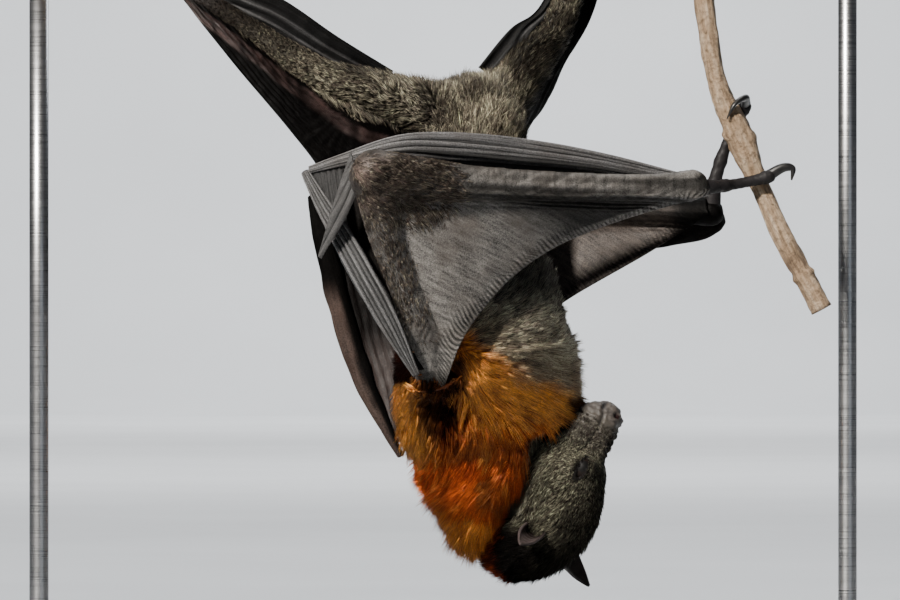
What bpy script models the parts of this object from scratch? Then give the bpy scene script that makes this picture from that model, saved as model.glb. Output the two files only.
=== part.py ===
"""A grey-headed fruit bat, life size, hanging by its feet from a short cut branch on a plain display stand.

Metres, +Z up. The origin is the centre of the stand base's underside. +X runs from the bat's back to its
belly, and -Y is the bat's left side. Points are written in millimetres and turned into metres by mm().

The body, with its limbs, is modelled whole from tapered tubes, fused, and then parted by thin cuts. Head,
feet, ears, membranes and folded fingers are solids of their own, trimmed so that a hair's gap stays between
them and what carries them. All surfaces are those of the coat's tips.
"""

import math

import bmesh
import bpy
from mathutils import Matrix, Vector
from mathutils.bvhtree import BVHTree

MM = 0.001
GAP = 0.35 * MM  # left between neighbouring solids
WEB_GAP = 0.5 * MM  # left round a membrane's edge
WEB_FULL_BOW = 30  # width in millimetres at which a membrane bows fully
FINEST_STEP = 0.01 * MM

# Coat colours, linear: the grizzled grey body, the rufous collar, bare skin and the mount.
GREY_COAT = (0.072, 0.068, 0.060)
RUFOUS_COAT = (0.33, 0.115, 0.022)
DARK_COAT = (0.035, 0.034, 0.032)
BARE_SKIN = (0.030, 0.027, 0.027)
MEMBRANE = (0.085, 0.078, 0.075)
HORN = (0.012, 0.011, 0.011)
EYE = (0.018, 0.009, 0.005)
BARK = (0.42, 0.30, 0.19)
BASE_STAIN = (0.055, 0.055, 0.058)
STEEL = (0.42, 0.42, 0.43)


def mm(x, y, z):
    return Vector((x, y, z)) * MM


def mms(points):
    return [mm(*point) for point in points]


# ---- driving dimensions of the pose ------------------------------------------------------------------

# Spine from rump to nape: centre, half the depth from back to belly, half the width from side to side.
SPINE = [
    ((1, 3, 267), 13, 13),
    ((3, 4, 259), 24, 20),
    ((5, 4, 245), 30, 26),
    ((7, 4, 222), 29, 27),
    ((9, 4, 197), 32, 28),
    ((12, 4, 172), 38, 30),
    ((14, 4, 150), 42, 31),
    ((14, 4, 132), 43, 31),
    ((14, 4, 118), 40, 30.5),
    ((16, 3.5, 107), 33.5, 29.5),
    ((19.5, 3, 97), 29.5, 27),
    ((24.5, 3, 90.5), 31.5, 25),
    ((29, 2.5, 87), 27.5, 21),
]

HIP_LEFT, KNEE_LEFT, ANKLE_LEFT = mm(-8, -8, 251), mm(-56, -24, 267), mm(-117, -33, 306)
HIP_RIGHT, KNEE_RIGHT, ANKLE_RIGHT = mm(20, 13, 254), mm(46, 24, 289), mm(68, 29, 356)
THIGH_RADII, SHIN_RADII = (15, 12.5, 9.5), (9.5, 6.8, 4.8)

SHOULDER_LEFT, ELBOW_LEFT, WRIST_LEFT = mm(-4, -24, 134), mm(-35, -66, 223), mm(101, -20, 219)
SHOULDER_RIGHT, ELBOW_RIGHT, WRIST_RIGHT = mm(-8, 32, 130), mm(-33, 64, 218), mm(110, 9, 208.5)
UPPER_ARM_RADII = (16, 8.5, 6, 6.5, 8)
FOREARM_RADII = (8, 8, 7, 6, 5, 4.6, 6.8)
FOREARM_SAG = 1.5  # the muscle's belly hangs below the straight line of the bone

# Head: centre between the ears, the way the muzzle points, and how far the crown is rolled to the bat's left.
HEAD = mm(38, 2, 78.5)
MUZZLE_PITCH = math.radians(58)
HEAD_ROLL = math.radians(10)
# Along the muzzle's line from nape to nose: place, top, underside, half width.
HEAD_PROFILE = [
    (-27, 4, -6, 6),
    (-24.5, 9, -12, 12),
    (-18, 15.5, -17.5, 17.5),
    (-10, 20.5, -20.5, 20.8),
    (-1, 23.6, -21.5, 22.2),
    (8, 24.4, -20.5, 21.8),
    (17, 22, -18, 20),
    (24, 18, -15.5, 17.4),
    (30, 13.2, -13, 14),
    (36, 10, -11.4, 11),
    (43, 8.6, -10.6, 9.3),
    (50, 7.6, -9.8, 8.5),
    (54.5, 6.4, -8.2, 7.2),
    (57.5, 4, -4.5, 4.6),
]
EYE_PLACE, EYE_RADIUS = (28.5, 12.2, 4.6), 5.6  # forward, outward, up from the head's centre
EAR_ROOT, EAR_LENGTH, EAR_HALF_WIDTH = (-4.5, 17, 2.5), 34, 9
# Forward, outward, up: the left ear is swivelled down, the right one stands up.
EAR_LEAN = {"left": (-0.30, 0.95, 0.02), "right": (-0.23, 0.42, 0.88)}
EAR_ROWS, EAR_COLUMNS = 8, 5

# The branch and the side twig that the thumbs hold.
PERCH_LEFT, PERCH_RIGHT = mm(-178, -56, 317.8), mm(178, 67.2, 406.5)
PERCH_RADIUS = 8
TWIG_ROUTE = [
    (97, 34.5, 379),
    (102, 24, 360),
    (104.5, 12, 325),
    (107.5, 3, 293),
    (112.2, 0, 264),
    (121, 0, 242),
    (131, 0, 218),
    (141.5, -2, 195),
    (156, -4, 168),
]
TWIG_RADII = (6.5, 4.8, 4.4, 4.3, 4.0, 5.7, 4.0, 4.3, 4.5)
FOOT_ON_PERCH = {"left": 0.145, "right": 0.712}  # shares of the perch's length
TOE_RADIUS, TOE_SPACING, TOES = 1.7, 4.1, 5

# The stand.
BASE_SIZE, BASE_EDGE = (400, 180, 12), 2.5
ROD_X, ROD_RADIUS, ROD_FOOT_RADIUS, ROD_FOOT_HEIGHT = 170, 4, 13, 3.5
ROD_TOP_BELOW_AXIS = 1  # a rod ends this far under the perch's axis


# ---- meshes ------------------------------------------------------------------------------------------


def clear_scene():
    for obj in list(bpy.data.objects):
        bpy.data.objects.remove(obj)


def material(name, colour, roughness, metallic=0.0):
    made = bpy.data.materials.new(name)
    made.use_nodes = True
    shader = made.node_tree.nodes["Principled BSDF"]
    shader.inputs["Base Color"].default_value = (*colour, 1)
    shader.inputs["Roughness"].default_value = roughness
    shader.inputs["Metallic"].default_value = metallic
    made.diffuse_color = (*colour, 1)
    return made


def object_of(name, mesh):
    obj = bpy.data.objects.new(name, mesh)
    bpy.context.scene.collection.objects.link(obj)
    return obj


def mesh_object(name, points, faces):
    mesh = bpy.data.meshes.new(name)
    mesh.from_pydata([tuple(point) for point in points], [], faces)
    mesh.update()
    facing_out = bmesh.new()
    facing_out.from_mesh(mesh)
    bmesh.ops.recalc_face_normals(facing_out, faces=facing_out.faces)
    facing_out.to_mesh(mesh)
    facing_out.free()
    return object_of(name, mesh)


def smooth_values(values, count):
    """`count` values along a Catmull-Rom curve through `values`, which are numbers or vectors."""
    ends = [values[0] * 2 - values[1], *values, values[-1] * 2 - values[-2]]
    made = []
    for step in range(count):
        place = step / (count - 1) * (len(values) - 1)
        span = min(int(place), len(values) - 2)
        t = place - span
        a, b, c, d = ends[span : span + 4]
        square = (a * 2 - b * 5 + c * 4 - d) * t * t
        cube = (b * 3 - a - c * 3 + d) * t**3
        made.append((b * 2 + (c - a) * t + square + cube) * 0.5)
    return made


def tube(name, path, wide, high, sides, across):
    """A closed tube round `path`, with half widths `wide` along `across` and `high` square to it."""
    points, faces = [], []
    count = len(path)
    for i, centre in enumerate(path):
        along = (path[min(i + 1, count - 1)] - path[max(i - 1, 0)]).normalized()
        side = (across - along * across.dot(along)).normalized()
        up = along.cross(side)
        for k in range(sides):
            angle = 2 * math.pi * k / sides
            points.append(centre + side * (wide[i] * math.cos(angle)) + up * (high[i] * math.sin(angle)))
    for i in range(count - 1):
        for k in range(sides):
            after = (k + 1) % sides
            here, beyond = i * sides, (i + 1) * sides
            faces.append((here + k, here + after, beyond + after, beyond + k))
    faces.append(tuple(range(sides)))
    faces.append(tuple((count - 1) * sides + k for k in range(sides)))
    return mesh_object(name, points, faces)


def limb(name, route, radii, rings, sides, flat=1.0, across=Vector((0, 1, 0))):
    """A tapered tube through `route`, radii in millimetres, thinned by `flat` along `across`."""
    path = smooth_values(route, rings)
    high = [radius * MM for radius in smooth_values([float(r) for r in radii], rings)]
    return tube(name, path, [radius * flat for radius in high], high, sides, across)


def ball(name, centre, radius, sides=16, rings=10):
    made = bmesh.new()
    bmesh.ops.create_uvsphere(made, u_segments=sides, v_segments=rings, radius=radius)
    bmesh.ops.translate(made, verts=made.verts, vec=centre)
    mesh = bpy.data.meshes.new(name)
    made.to_mesh(mesh)
    made.free()
    return object_of(name, mesh)


def sheet(name, rows, thickness):
    """A closed thin solid over a grid of points, `rows` by columns."""
    columns = len(rows[0])
    points = [point for row in rows for point in row]
    faces = [
        (i * columns + j, i * columns + j + 1, (i + 1) * columns + j + 1, (i + 1) * columns + j)
        for i in range(len(rows) - 1)
        for j in range(columns - 1)
    ]
    mesh = bpy.data.meshes.new(name)
    mesh.from_pydata([tuple(point) for point in points], [], faces)
    obj = object_of(name, mesh)
    solid = obj.modifiers.new("thickness", "SOLIDIFY")
    solid.thickness = thickness * MM
    solid.offset = 0
    return applied(obj)


def web(name, inner, outer, bulge, thickness=0.9, rows=16, columns=6):
    """A membrane between two routes, which bows by `bulge` (a vector in millimetres) between them."""
    a, b = smooth_values(mms(inner), rows), smooth_values(mms(outer), rows)
    grid = []
    for start, end in zip(a, b):
        row = []
        for step in range(columns):
            v = step / (columns - 1)
            bow = 4 * v * (1 - v) * min(1, (end - start).length / (WEB_FULL_BOW * MM))
            row.append(start.lerp(end, v) + Vector(bulge) * MM * bow)
        grid.append(row)
    return sheet(name, grid, thickness)


def applied(obj):
    """The same object, with its modifiers made into its mesh."""
    graph = bpy.context.evaluated_depsgraph_get()
    mesh = bpy.data.meshes.new_from_object(obj.evaluated_get(graph), depsgraph=graph)
    obj.modifiers.clear()
    obj.data = mesh
    return obj


def joined(name, parts):
    made = bmesh.new()
    for part in parts:
        made.from_mesh(part.data)
        bpy.data.objects.remove(part)
    mesh = bpy.data.meshes.new(name)
    made.to_mesh(mesh)
    made.free()
    return object_of(name, mesh)


def fused(name, parts, voxel, smoothing, triangles):
    """The parts as one closed skin, smoothed where they meet and reduced to about `triangles`."""
    obj = joined(name, parts)
    remesh = obj.modifiers.new("fuse", "REMESH")
    remesh.mode = "VOXEL"
    remesh.voxel_size = voxel * MM
    if smoothing:
        soften = obj.modifiers.new("soften", "SMOOTH")
        soften.factor = 0.5
        soften.iterations = smoothing
    applied(obj)
    reduce = obj.modifiers.new("reduce", "DECIMATE")
    reduce.ratio = triangles / (2 * len(obj.data.polygons))
    return applied(obj)


def islands(made):
    """The connected sets of vertices of a bmesh."""
    left, found = set(made.verts), []
    while left:
        start = min(left, key=lambda vertex: vertex.index)
        group, front = {start}, [start]
        while front:
            for edge in front.pop().link_edges:
                for vertex in edge.verts:
                    if vertex not in group:
                        group.add(vertex)
                        front.append(vertex)
        left -= group
        found.append(group)
    return found


def area_of(group):
    """The area of the faces on a set of vertices."""
    faces = {face for vertex in group for face in vertex.link_faces}
    return sum(face.calc_area() for face in faces)


def keep_largest(obj):
    made = bmesh.new()
    made.from_mesh(obj.data)
    found = sorted(islands(made), key=area_of)
    for group in found[:-1]:
        bmesh.ops.delete(made, geom=list(group), context="VERTS")
    bmesh.ops.dissolve_degenerate(made, edges=made.edges, dist=FINEST_STEP)
    bmesh.ops.triangulate(made, faces=made.faces)
    made.to_mesh(obj.data)
    made.free()
    return obj


def surface_tree(obj):
    made = bmesh.new()
    made.from_mesh(obj.data)
    tree = BVHTree.FromBMesh(made)
    made.free()
    return tree


def trimmed(obj, *carriers, gap=GAP):
    """obj less the carriers' room and a hair's gap round it; what the cut leaves loose is dropped."""
    for carrier in carriers:
        cutter = object_of(carrier.name + "_room", carrier.data.copy())
        swell = cutter.modifiers.new("gap", "DISPLACE")
        swell.strength = gap
        swell.mid_level = 0
        applied(cutter)
        if surface_tree(obj).overlap(surface_tree(cutter)):
            cut = obj.modifiers.new("cut", "BOOLEAN")
            cut.operation = "DIFFERENCE"
            cut.object = cutter
            keep_largest(applied(obj))
        bpy.data.objects.remove(cutter)
    return obj


# ---- the body ----------------------------------------------------------------------------------------


def between(a, b, share):
    return a.lerp(b, share)


def body_whole():
    """Trunk, neck, legs to the ankles and arms to the wrists as one fused skin."""
    centres = smooth_values(mms([station[0] for station in SPINE]), 40)
    depth = [d * MM for d in smooth_values([float(station[1]) for station in SPINE], 40)]
    width = [w * MM for w in smooth_values([float(station[2]) for station in SPINE], 40)]
    parts = [tube("trunk", centres, depth, width, 28, Vector((1, 0, 0)))]
    for hip, knee, ankle in ((HIP_LEFT, KNEE_LEFT, ANKLE_LEFT), (HIP_RIGHT, KNEE_RIGHT, ANKLE_RIGHT)):
        route = [hip, between(hip, knee, 0.5), knee, between(knee, ankle, 0.5), ankle]
        parts.append(limb("leg", route, (*THIGH_RADII, *SHIN_RADII[1:]), 20, 16))
    for shoulder, elbow, wrist in (
        (SHOULDER_LEFT, ELBOW_LEFT, WRIST_LEFT),
        (SHOULDER_RIGHT, ELBOW_RIGHT, WRIST_RIGHT),
    ):
        upper = [between(shoulder, elbow, share) for share in (0, 0.25, 0.5, 0.75, 1)]
        fore = [between(elbow, wrist, share) for share in (0, 0.15, 0.3, 0.5, 0.7, 0.88, 1)]
        for i, place in enumerate(fore):
            place.z -= FOREARM_SAG * MM * math.sin(math.pi * i / (len(fore) - 1))
        parts.append(limb("upper_arm", upper, UPPER_ARM_RADII, 18, 16))
        parts.append(limb("forearm", fore, FOREARM_RADII, 24, 14))
        parts.append(ball("elbow", elbow, UPPER_ARM_RADII[-1] * MM))
        parts.append(ball("wrist", wrist, FOREARM_RADII[-1] * MM))
    return fused("body", parts, voxel=1.8, smoothing=5, triangles=1760)


def slab(centre, normal, radius):
    """A thin disc that parts the body."""
    made = bmesh.new()
    bmesh.ops.create_cone(
        made, cap_ends=True, segments=24, radius1=radius * MM, radius2=radius * MM, depth=GAP
    )
    turn = normal.to_track_quat("Z", "Y").to_matrix().to_4x4()
    bmesh.ops.transform(made, matrix=Matrix.Translation(centre) @ turn, verts=made.verts)
    mesh = bpy.data.meshes.new("slab")
    made.to_mesh(mesh)
    made.free()
    return object_of("slab", mesh)


def body_slabs():
    slabs = [
        slab(mm(13, 4, 107), Vector((0.15, 0, -1)), 62),
        slab(mm(10, 4, 186), Vector((0.1, 0, -1)), 46),
        slab(mm(6, 4, 228), Vector((0, 0, 1)), 41),
    ]
    for hip, knee, ankle, high in (
        (HIP_LEFT, KNEE_LEFT, ANKLE_LEFT, 0.5),
        (HIP_RIGHT, KNEE_RIGHT, ANKLE_RIGHT, 0.5),
    ):
        slabs.append(slab(between(hip, knee, high), knee - hip, 22))
        slabs.append(slab(knee, ankle - hip, 16))
    for shoulder, elbow, wrist in (
        (SHOULDER_LEFT, ELBOW_LEFT, WRIST_LEFT),
        (SHOULDER_RIGHT, ELBOW_RIGHT, WRIST_RIGHT),
    ):
        slabs.append(slab(between(shoulder, elbow, 0.36), elbow - shoulder, 12))
        slabs.append(slab(between(shoulder, elbow, 0.8), elbow - shoulder, 11))
        slabs.append(slab(between(elbow, wrist, 0.93), wrist - elbow, 10))
    return joined("slabs", slabs)


def body_seeds():
    """A point near the middle of each parted piece."""
    seeds = {
        "neck": mm(15, 3, 92),
        "chest": mm(13, 4, 145),
        "belly": mm(8, 4, 207),
        "rump": mm(6, 4, 245),
    }
    for side, hip, knee, ankle in (
        ("left", HIP_LEFT, KNEE_LEFT, ANKLE_LEFT),
        ("right", HIP_RIGHT, KNEE_RIGHT, ANKLE_RIGHT),
    ):
        seeds[f"leg_{side}_thigh"] = between(hip, knee, 0.75)
        seeds[f"leg_{side}_shin"] = between(knee, ankle, 0.5)
    for side, shoulder, elbow, wrist in (
        ("left", SHOULDER_LEFT, ELBOW_LEFT, WRIST_LEFT),
        ("right", SHOULDER_RIGHT, ELBOW_RIGHT, WRIST_RIGHT),
    ):
        seeds[f"wing_{side}_upper_arm"] = between(shoulder, elbow, 0.58)
        seeds[f"wing_{side}_forearm"] = between(elbow, wrist, 0.45)
        seeds[f"wing_{side}_wrist"] = between(elbow, wrist, 0.99)
    return seeds


def parted(body):
    """The body cut into its named pieces by the slabs."""
    cutter = body_slabs()
    cut = body.modifiers.new("part", "BOOLEAN")
    cut.operation = "DIFFERENCE"
    cut.object = cutter
    cut.use_self = False
    applied(body)
    bpy.data.objects.remove(cutter)
    made = bmesh.new()
    made.from_mesh(body.data)
    groups = [group for group in islands(made) if area_of(group) > 50 * MM * MM]
    seeds = body_seeds()
    pieces = {}
    for group in groups:
        middle = sum((vertex.co for vertex in group), Vector()) / len(group)
        name = min(seeds, key=lambda key: (seeds[key] - middle).length)
        if name in pieces:
            raise ValueError(f"two pieces of the body lie nearest to {name}")
        number = {vertex: i for i, vertex in enumerate(sorted(group, key=lambda vertex: vertex.index))}
        faces = [tuple(number[v] for v in face.verts) for face in made.faces if face.verts[0] in number]
        mesh = bpy.data.meshes.new(name)
        mesh.from_pydata([tuple(vertex.co) for vertex in number], [], faces)
        pieces[name] = object_of(name, mesh)
    made.free()
    missing = set(seeds) - set(pieces)
    if missing:
        raise ValueError(f"the cuts left no piece for {sorted(missing)}")
    bpy.data.objects.remove(body)
    return pieces


# ---- head, eyes, ears --------------------------------------------------------------------------------


def head_frame():
    """The head's forward, right and up directions."""
    forward = Vector((math.cos(MUZZLE_PITCH), 0, math.sin(MUZZLE_PITCH)))
    crown = Vector((math.sin(MUZZLE_PITCH), 0, -math.cos(MUZZLE_PITCH)))
    away = Vector((0, 1, 0))
    up = crown * math.cos(HEAD_ROLL) - away * math.sin(HEAD_ROLL)
    right = away * math.cos(HEAD_ROLL) + crown * math.sin(HEAD_ROLL)
    return forward, right, up


def in_head(forward_mm, right_mm, up_mm):
    forward, right, up = head_frame()
    return HEAD + (forward * forward_mm + right * right_mm + up * up_mm) * MM


def head_solid():
    centres, high, wide = [], [], []
    rings = 16
    columns = zip(*HEAD_PROFILE)
    place, top, under, half = (smooth_values([float(v) for v in column], rings) for column in columns)
    for i in range(rings):
        centres.append(in_head(place[i], 0, (top[i] + under[i]) / 2))
        high.append((top[i] - under[i]) / 2 * MM)
        wide.append(half[i] * MM)
    return tube("head", centres, wide, high, 14, head_frame()[1])


def eye(side, sign):
    forward, outward, up = EYE_PLACE
    return ball(f"eye_{side}", in_head(forward, sign * outward, up), EYE_RADIUS * MM, 10, 7)


def ear(side, sign):
    """A pointed, cupped leaf that stands on the side of the crown and opens forward and outward."""
    forward, right, up = head_frame()
    ahead, outward, high = EAR_LEAN[side]
    lean = (forward * ahead + right * sign * outward + up * high).normalized()
    opening = (forward * 0.75 + right * sign * 0.65).normalized()
    opening = (opening - lean * opening.dot(lean)).normalized()
    across = lean.cross(opening)
    root = in_head(EAR_ROOT[0], sign * EAR_ROOT[1], EAR_ROOT[2])
    rows = []
    for i in range(EAR_ROWS):
        s = i / (EAR_ROWS - 1)
        half = EAR_HALF_WIDTH * (0.72 + 0.28 * math.sin(math.pi * min(1, s * 1.6)))
        half *= (1 - s**2.2) ** 0.75 * 0.86 + 0.14
        row = []
        for j in range(EAR_COLUMNS):
            w = 2 * j / (EAR_COLUMNS - 1) - 1
            curl = 4.5 * w * w * (1 - 0.6 * s)
            row.append(root + (lean * (EAR_LENGTH * s - 6) + across * half * w + opening * curl) * MM)
        rows.append(row)
    return sheet(f"ear_{side}", rows, 1.3)


# ---- feet and the perch ------------------------------------------------------------------------------


def perch_place(share):
    return PERCH_LEFT.lerp(PERCH_RIGHT, share)


def perch_solid():
    wave = [(0, 0), (1.5, -1), (-0.5, 1), (0, 0), (1, 1), (-1, 0), (0, 0)]
    route = []
    for i, (y, z) in enumerate(wave):
        route.append(perch_place(i / (len(wave) - 1)) + mm(0, y * 0.4, z * 0.4))
    radii = (8.4, 8.2, 8.0, 8.3, 7.9, 7.7, 7.4)
    return limb("perch_branch", route, radii, 9, 10, across=Vector((0, 0, 1)))


def twig_solid():
    return limb("perch_twig", mms(TWIG_ROUTE), TWIG_RADII, 15, 8, across=Vector((1, 0, 0)))


def foot(side, ankle):
    """Five toes that go up behind the perch and hook over it, on a short sole from the ankle."""
    centre = perch_place(FOOT_ON_PERCH[side])
    along = (PERCH_RIGHT - PERCH_LEFT).normalized()
    back = (Vector((0, 1, 0)) - along * along.y).normalized()
    rise = along.cross(back)
    if rise.z < 0:
        rise = -rise

    def round_perch(degrees, reach, offset):
        angle = math.radians(degrees)
        return centre + along * offset * MM + (back * math.sin(angle) - rise * math.cos(angle)) * reach * MM

    clear = PERCH_RADIUS + GAP / MM + 0.9
    sole_end = round_perch(52, clear + 3.2, 0)
    parts = [limb("sole", [ankle, ankle.lerp(sole_end, 0.5), sole_end], (4.4, 4.2, 3.2), 8, 12, 1.0)]
    for toe in range(TOES):
        offset = (toe - (TOES - 1) / 2) * TOE_SPACING
        reach = clear + TOE_RADIUS
        flesh = [ankle.lerp(sole_end, 0.62), round_perch(55, reach + 0.8, offset * 0.92)]
        flesh += [round_perch(degrees, reach, offset) for degrees in (85, 112, 138, 160)]
        parts.append(limb("toe", flesh, (1.9, 2.2, 1.8, 1.6, 1.7, 1.3), 12, 8))
        hook = ((152, 0.4), (178, 1.6), (204, 1.3), (228, -0.6))
        claw = [round_perch(degrees, reach + more, offset) for degrees, more in hook]
        parts.append(limb("claw", claw, (1.3, 1.15, 0.9, 0.55), 9, 8))
    return fused(f"foot_{side}", parts, voxel=0.6, smoothing=2, triangles=310)


# ---- wings -------------------------------------------------------------------------------------------

# Folded fingers: the metacarpals lie along the forearm, the first phalanges run on past the elbow.
FINGERS_ROUTE = {
    "left": [
        (98, -17, 222), (63, -27, 229), (29, -38, 233.5), (0, -48, 236),
        (-21, -54, 236), (-43, -51, 230.5), (-58, -46, 226),
    ],
    "right": [
        (106, 14, 216), (71, 25, 224), (38, 38, 229), (4, 52, 231),
        (-19, 60, 230), (-40, 56, 226), (-58, 47, 219),
    ],
}
FINGERS_RADII = (3.6, 4.4, 5.6, 6.2, 4.6, 2.8, 2.2)
# The wing tip: second phalanges, folded back towards the shoulder.
TIP_ROUTE = {
    "left": [
        (-60, -45.5, 225), (-53, -47.5, 212), (-43.5, -50, 196), (-27, -51, 166),
        (-14, -48, 141),
    ],
    "right": [(-59, 46, 216), (-54.5, 43, 199), (-46.5, 41, 168), (-36, 37, 136), (-21, 33, 106)],
}
TIP_RADII = {"left": (2.0, 3.0, 4.6, 4.3, 1.2), "right": (2.2, 4.8, 5.6, 5.2, 1.6)}
# The leading-edge membrane between shoulder, elbow and wrist, and its free edge.
FORE_WEB_FREE = {
    "left": [
        (100, -18, 213.5), (71, -22, 205), (46, -26, 195), (29, -30, 184),
        (16, -33, 171), (5, -35, 155), (-3, -34, 134),
    ],
    "right": [(109, 10, 208), (84, 14, 192), (52, 22, 173.5), (30, 30, 158), (8, 35, 141)],
}
FORE_WEB_ARM = {
    "left": [
        (99, -20, 216.5), (46, -38, 217), (0, -53, 219), (-32, -64, 217),
        (-25, -52, 190), (-14, -38, 162), (-6, -30, 138),
    ],
    "right": [(108, 9, 211), (52, 27, 212), (4, 46, 215), (-29, 61, 213), (-20, 48, 180)],
}
FORE_WEB_BULGE = {"left": (0, -4.5, 0), "right": (0, 4, 0)}
# The membrane from leg and flank to the folded hand and upper arm: body line, then free edge.
FLANK_WEB_BODY = {
    "left": [
        (-112, -32, 302), (-84, -27, 283), (-58, -22, 262), (-28, -19, 245),
        (-18, -18, 214), (-14, -20, 180), (-6, -22, 146),
    ],
    "right": [
        (66, 30, 350), (52, 27, 304), (34, 22, 266), (24, 24, 236),
        (14, 26, 204), (4, 28, 172), (-3, 29, 144),
    ],
}
FLANK_WEB_FREE = {
    "left": [
        (-111, -34, 297), (-90, -38, 271), (-66, -42, 246), (-48, -47, 229),
        (-36, -50, 208), (-24, -42, 178), (-10, -32, 148),
    ],
    "right": [
        (70, 34, 348), (62, 37, 299), (48, 40, 273), (34, 42, 249),
        (-2, 47, 224), (-14, 41, 186), (-8, 33, 150),
    ],
}
FLANK_WEB_BULGE = {"left": (1, -2, -1), "right": (2, 3, 0)}
# The narrow membrane on the inner side of each leg.
LEG_WEB_BODY = {
    "left": [(-98, -30, 294), (-76, -27, 281), (-52, -20, 268), (-26, -9, 258)],
    "right": [(63, 28, 346), (50, 25, 302), (42, 21, 284), (24, 13, 264)],
}
LEG_WEB_FREE = {
    "left": [(-93, -31, 306), (-71, -26, 298), (-47, -18, 282), (-24, -7, 268)],
    "right": [(57, 28, 340), (39, 23, 298), (25, 17, 286), (12, 10, 270)],
}
# Right wing only: the web of the tip, drawn back to the upper arm.
TIP_WEB = (
    [(-57, 46, 211), (-52, 44.5, 196), (-44, 42.5, 168), (-34, 38.5, 136), (-23, 34.5, 111)],
    [(-38, 56, 209), (-30, 52, 194), (-22, 43, 168), (-14, 37, 140), (-10, 34, 118)],
)
THUMB_ROUTE = {
    "left": [
        (100, -20, 219.5), (109, -17.5, 219.3), (118, -10.5, 220.3), (127, -7.8, 222),
        (134, -7.2, 223.8),
    ],
    "right": [
        (110, 9, 211), (111.5, 8, 222), (115.5, 8, 235), (120.5, 8.2, 247),
        (124.2, 5.5, 253.5),
    ],
}
THUMB_RADII = (4.2, 3.1, 2.4, 2.1, 2.9)
CLAW_ROUTE = {
    "left": [(135, -7.2, 224.6), (139.5, -7.2, 227.4), (143.6, -7, 227), (143.2, -6.8, 222.4)],
    "right": [(125, 3.6, 254.8), (123.6, -2.2, 256.6), (119.3, -6.6, 254), (116.2, -6.9, 248.2)],
}
CLAW_RADII = (2.1, 1.8, 1.3, 0.6)
# Left wing only: the creased web of the first phalanges, and the pointed fold in front of it.
PALM_WEB = (
    [(-57, -46, 222), (-50, -47, 207), (-45, -48, 194)],
    [(-44, -50, 227), (-43, -50.5, 213), (-42.5, -50.8, 199)],
)
POINTED_FOLD = (
    [(-41, -59, 233), (-48, -58.5, 212), (-54.5, -56, 190)],
    [(-37, -60, 221), (-42, -59.5, 208), (-53.2, -56, 189)],
)


def wing(side, body):
    """The solids of one wing beyond its arm, each trimmed by what carries it."""
    fingers = limb(f"wing_{side}_fingers", mms(FINGERS_ROUTE[side]), FINGERS_RADII, 12, 8, flat=0.62)
    thumb = limb(f"wing_{side}_thumb", mms(THUMB_ROUTE[side]), THUMB_RADII, 9, 8)
    claw = limb(f"wing_{side}_thumb_claw", mms(CLAW_ROUTE[side]), CLAW_RADII, 8, 6)
    tip = limb(f"wing_{side}_tip", mms(TIP_ROUTE[side]), TIP_RADII[side], 10, 8, flat=0.5)
    trimmed(thumb, body)
    trimmed(claw, thumb)
    trimmed(fingers, body, thumb)
    trimmed(tip, body, fingers)
    edges = FORE_WEB_ARM[side], FORE_WEB_FREE[side]
    fore_web = web(f"wing_{side}_fore_membrane", *edges, FORE_WEB_BULGE[side], rows=12, columns=4)
    trimmed(fore_web, body, thumb, fingers, gap=WEB_GAP)
    edges = FLANK_WEB_BODY[side], FLANK_WEB_FREE[side]
    flank_web = web(f"wing_{side}_flank_membrane", *edges, FLANK_WEB_BULGE[side], rows=12, columns=4)
    trimmed(flank_web, body, fingers, tip, fore_web, gap=WEB_GAP)
    edges = LEG_WEB_BODY[side], LEG_WEB_FREE[side]
    leg_web = web(f"leg_{side}_membrane", *edges, (0, 0, 0), 1.6, rows=8, columns=3)
    trimmed(leg_web, body, gap=WEB_GAP)
    return [fingers, thumb, claw, tip, fore_web, flank_web, leg_web]


def right_wing_fold(body, wing_parts):
    tip_web = web("wing_right_tip_membrane", *TIP_WEB, (1, 2, 0), 0.9, rows=9, columns=4)
    return trimmed(tip_web, body, *(wing_parts[place] for place in (0, 3, 4, 5)), gap=WEB_GAP)


def left_wing_folds(body, wing_parts):
    fingers, tip, flank_web = wing_parts[0], wing_parts[3], wing_parts[5]
    palm = web("wing_left_palm_membrane", *PALM_WEB, (0, -1, 0), 0.8, rows=6, columns=3)
    trimmed(palm, body, fingers, tip, flank_web, gap=WEB_GAP)
    fold = web("wing_left_pointed_fold", *POINTED_FOLD, (0, -1.5, 0), 1.0, rows=8, columns=3)
    trimmed(fold, body, fingers, tip, palm, flank_web, gap=WEB_GAP)
    return [palm, fold]


# ---- stand -------------------------------------------------------------------------------------------


def rod_top(sign):
    """Where a rod's axis meets the perch's."""
    x = sign * ROD_X * MM
    share = (x - PERCH_LEFT.x) / (PERCH_RIGHT.x - PERCH_LEFT.x)
    return perch_place(share)


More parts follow.
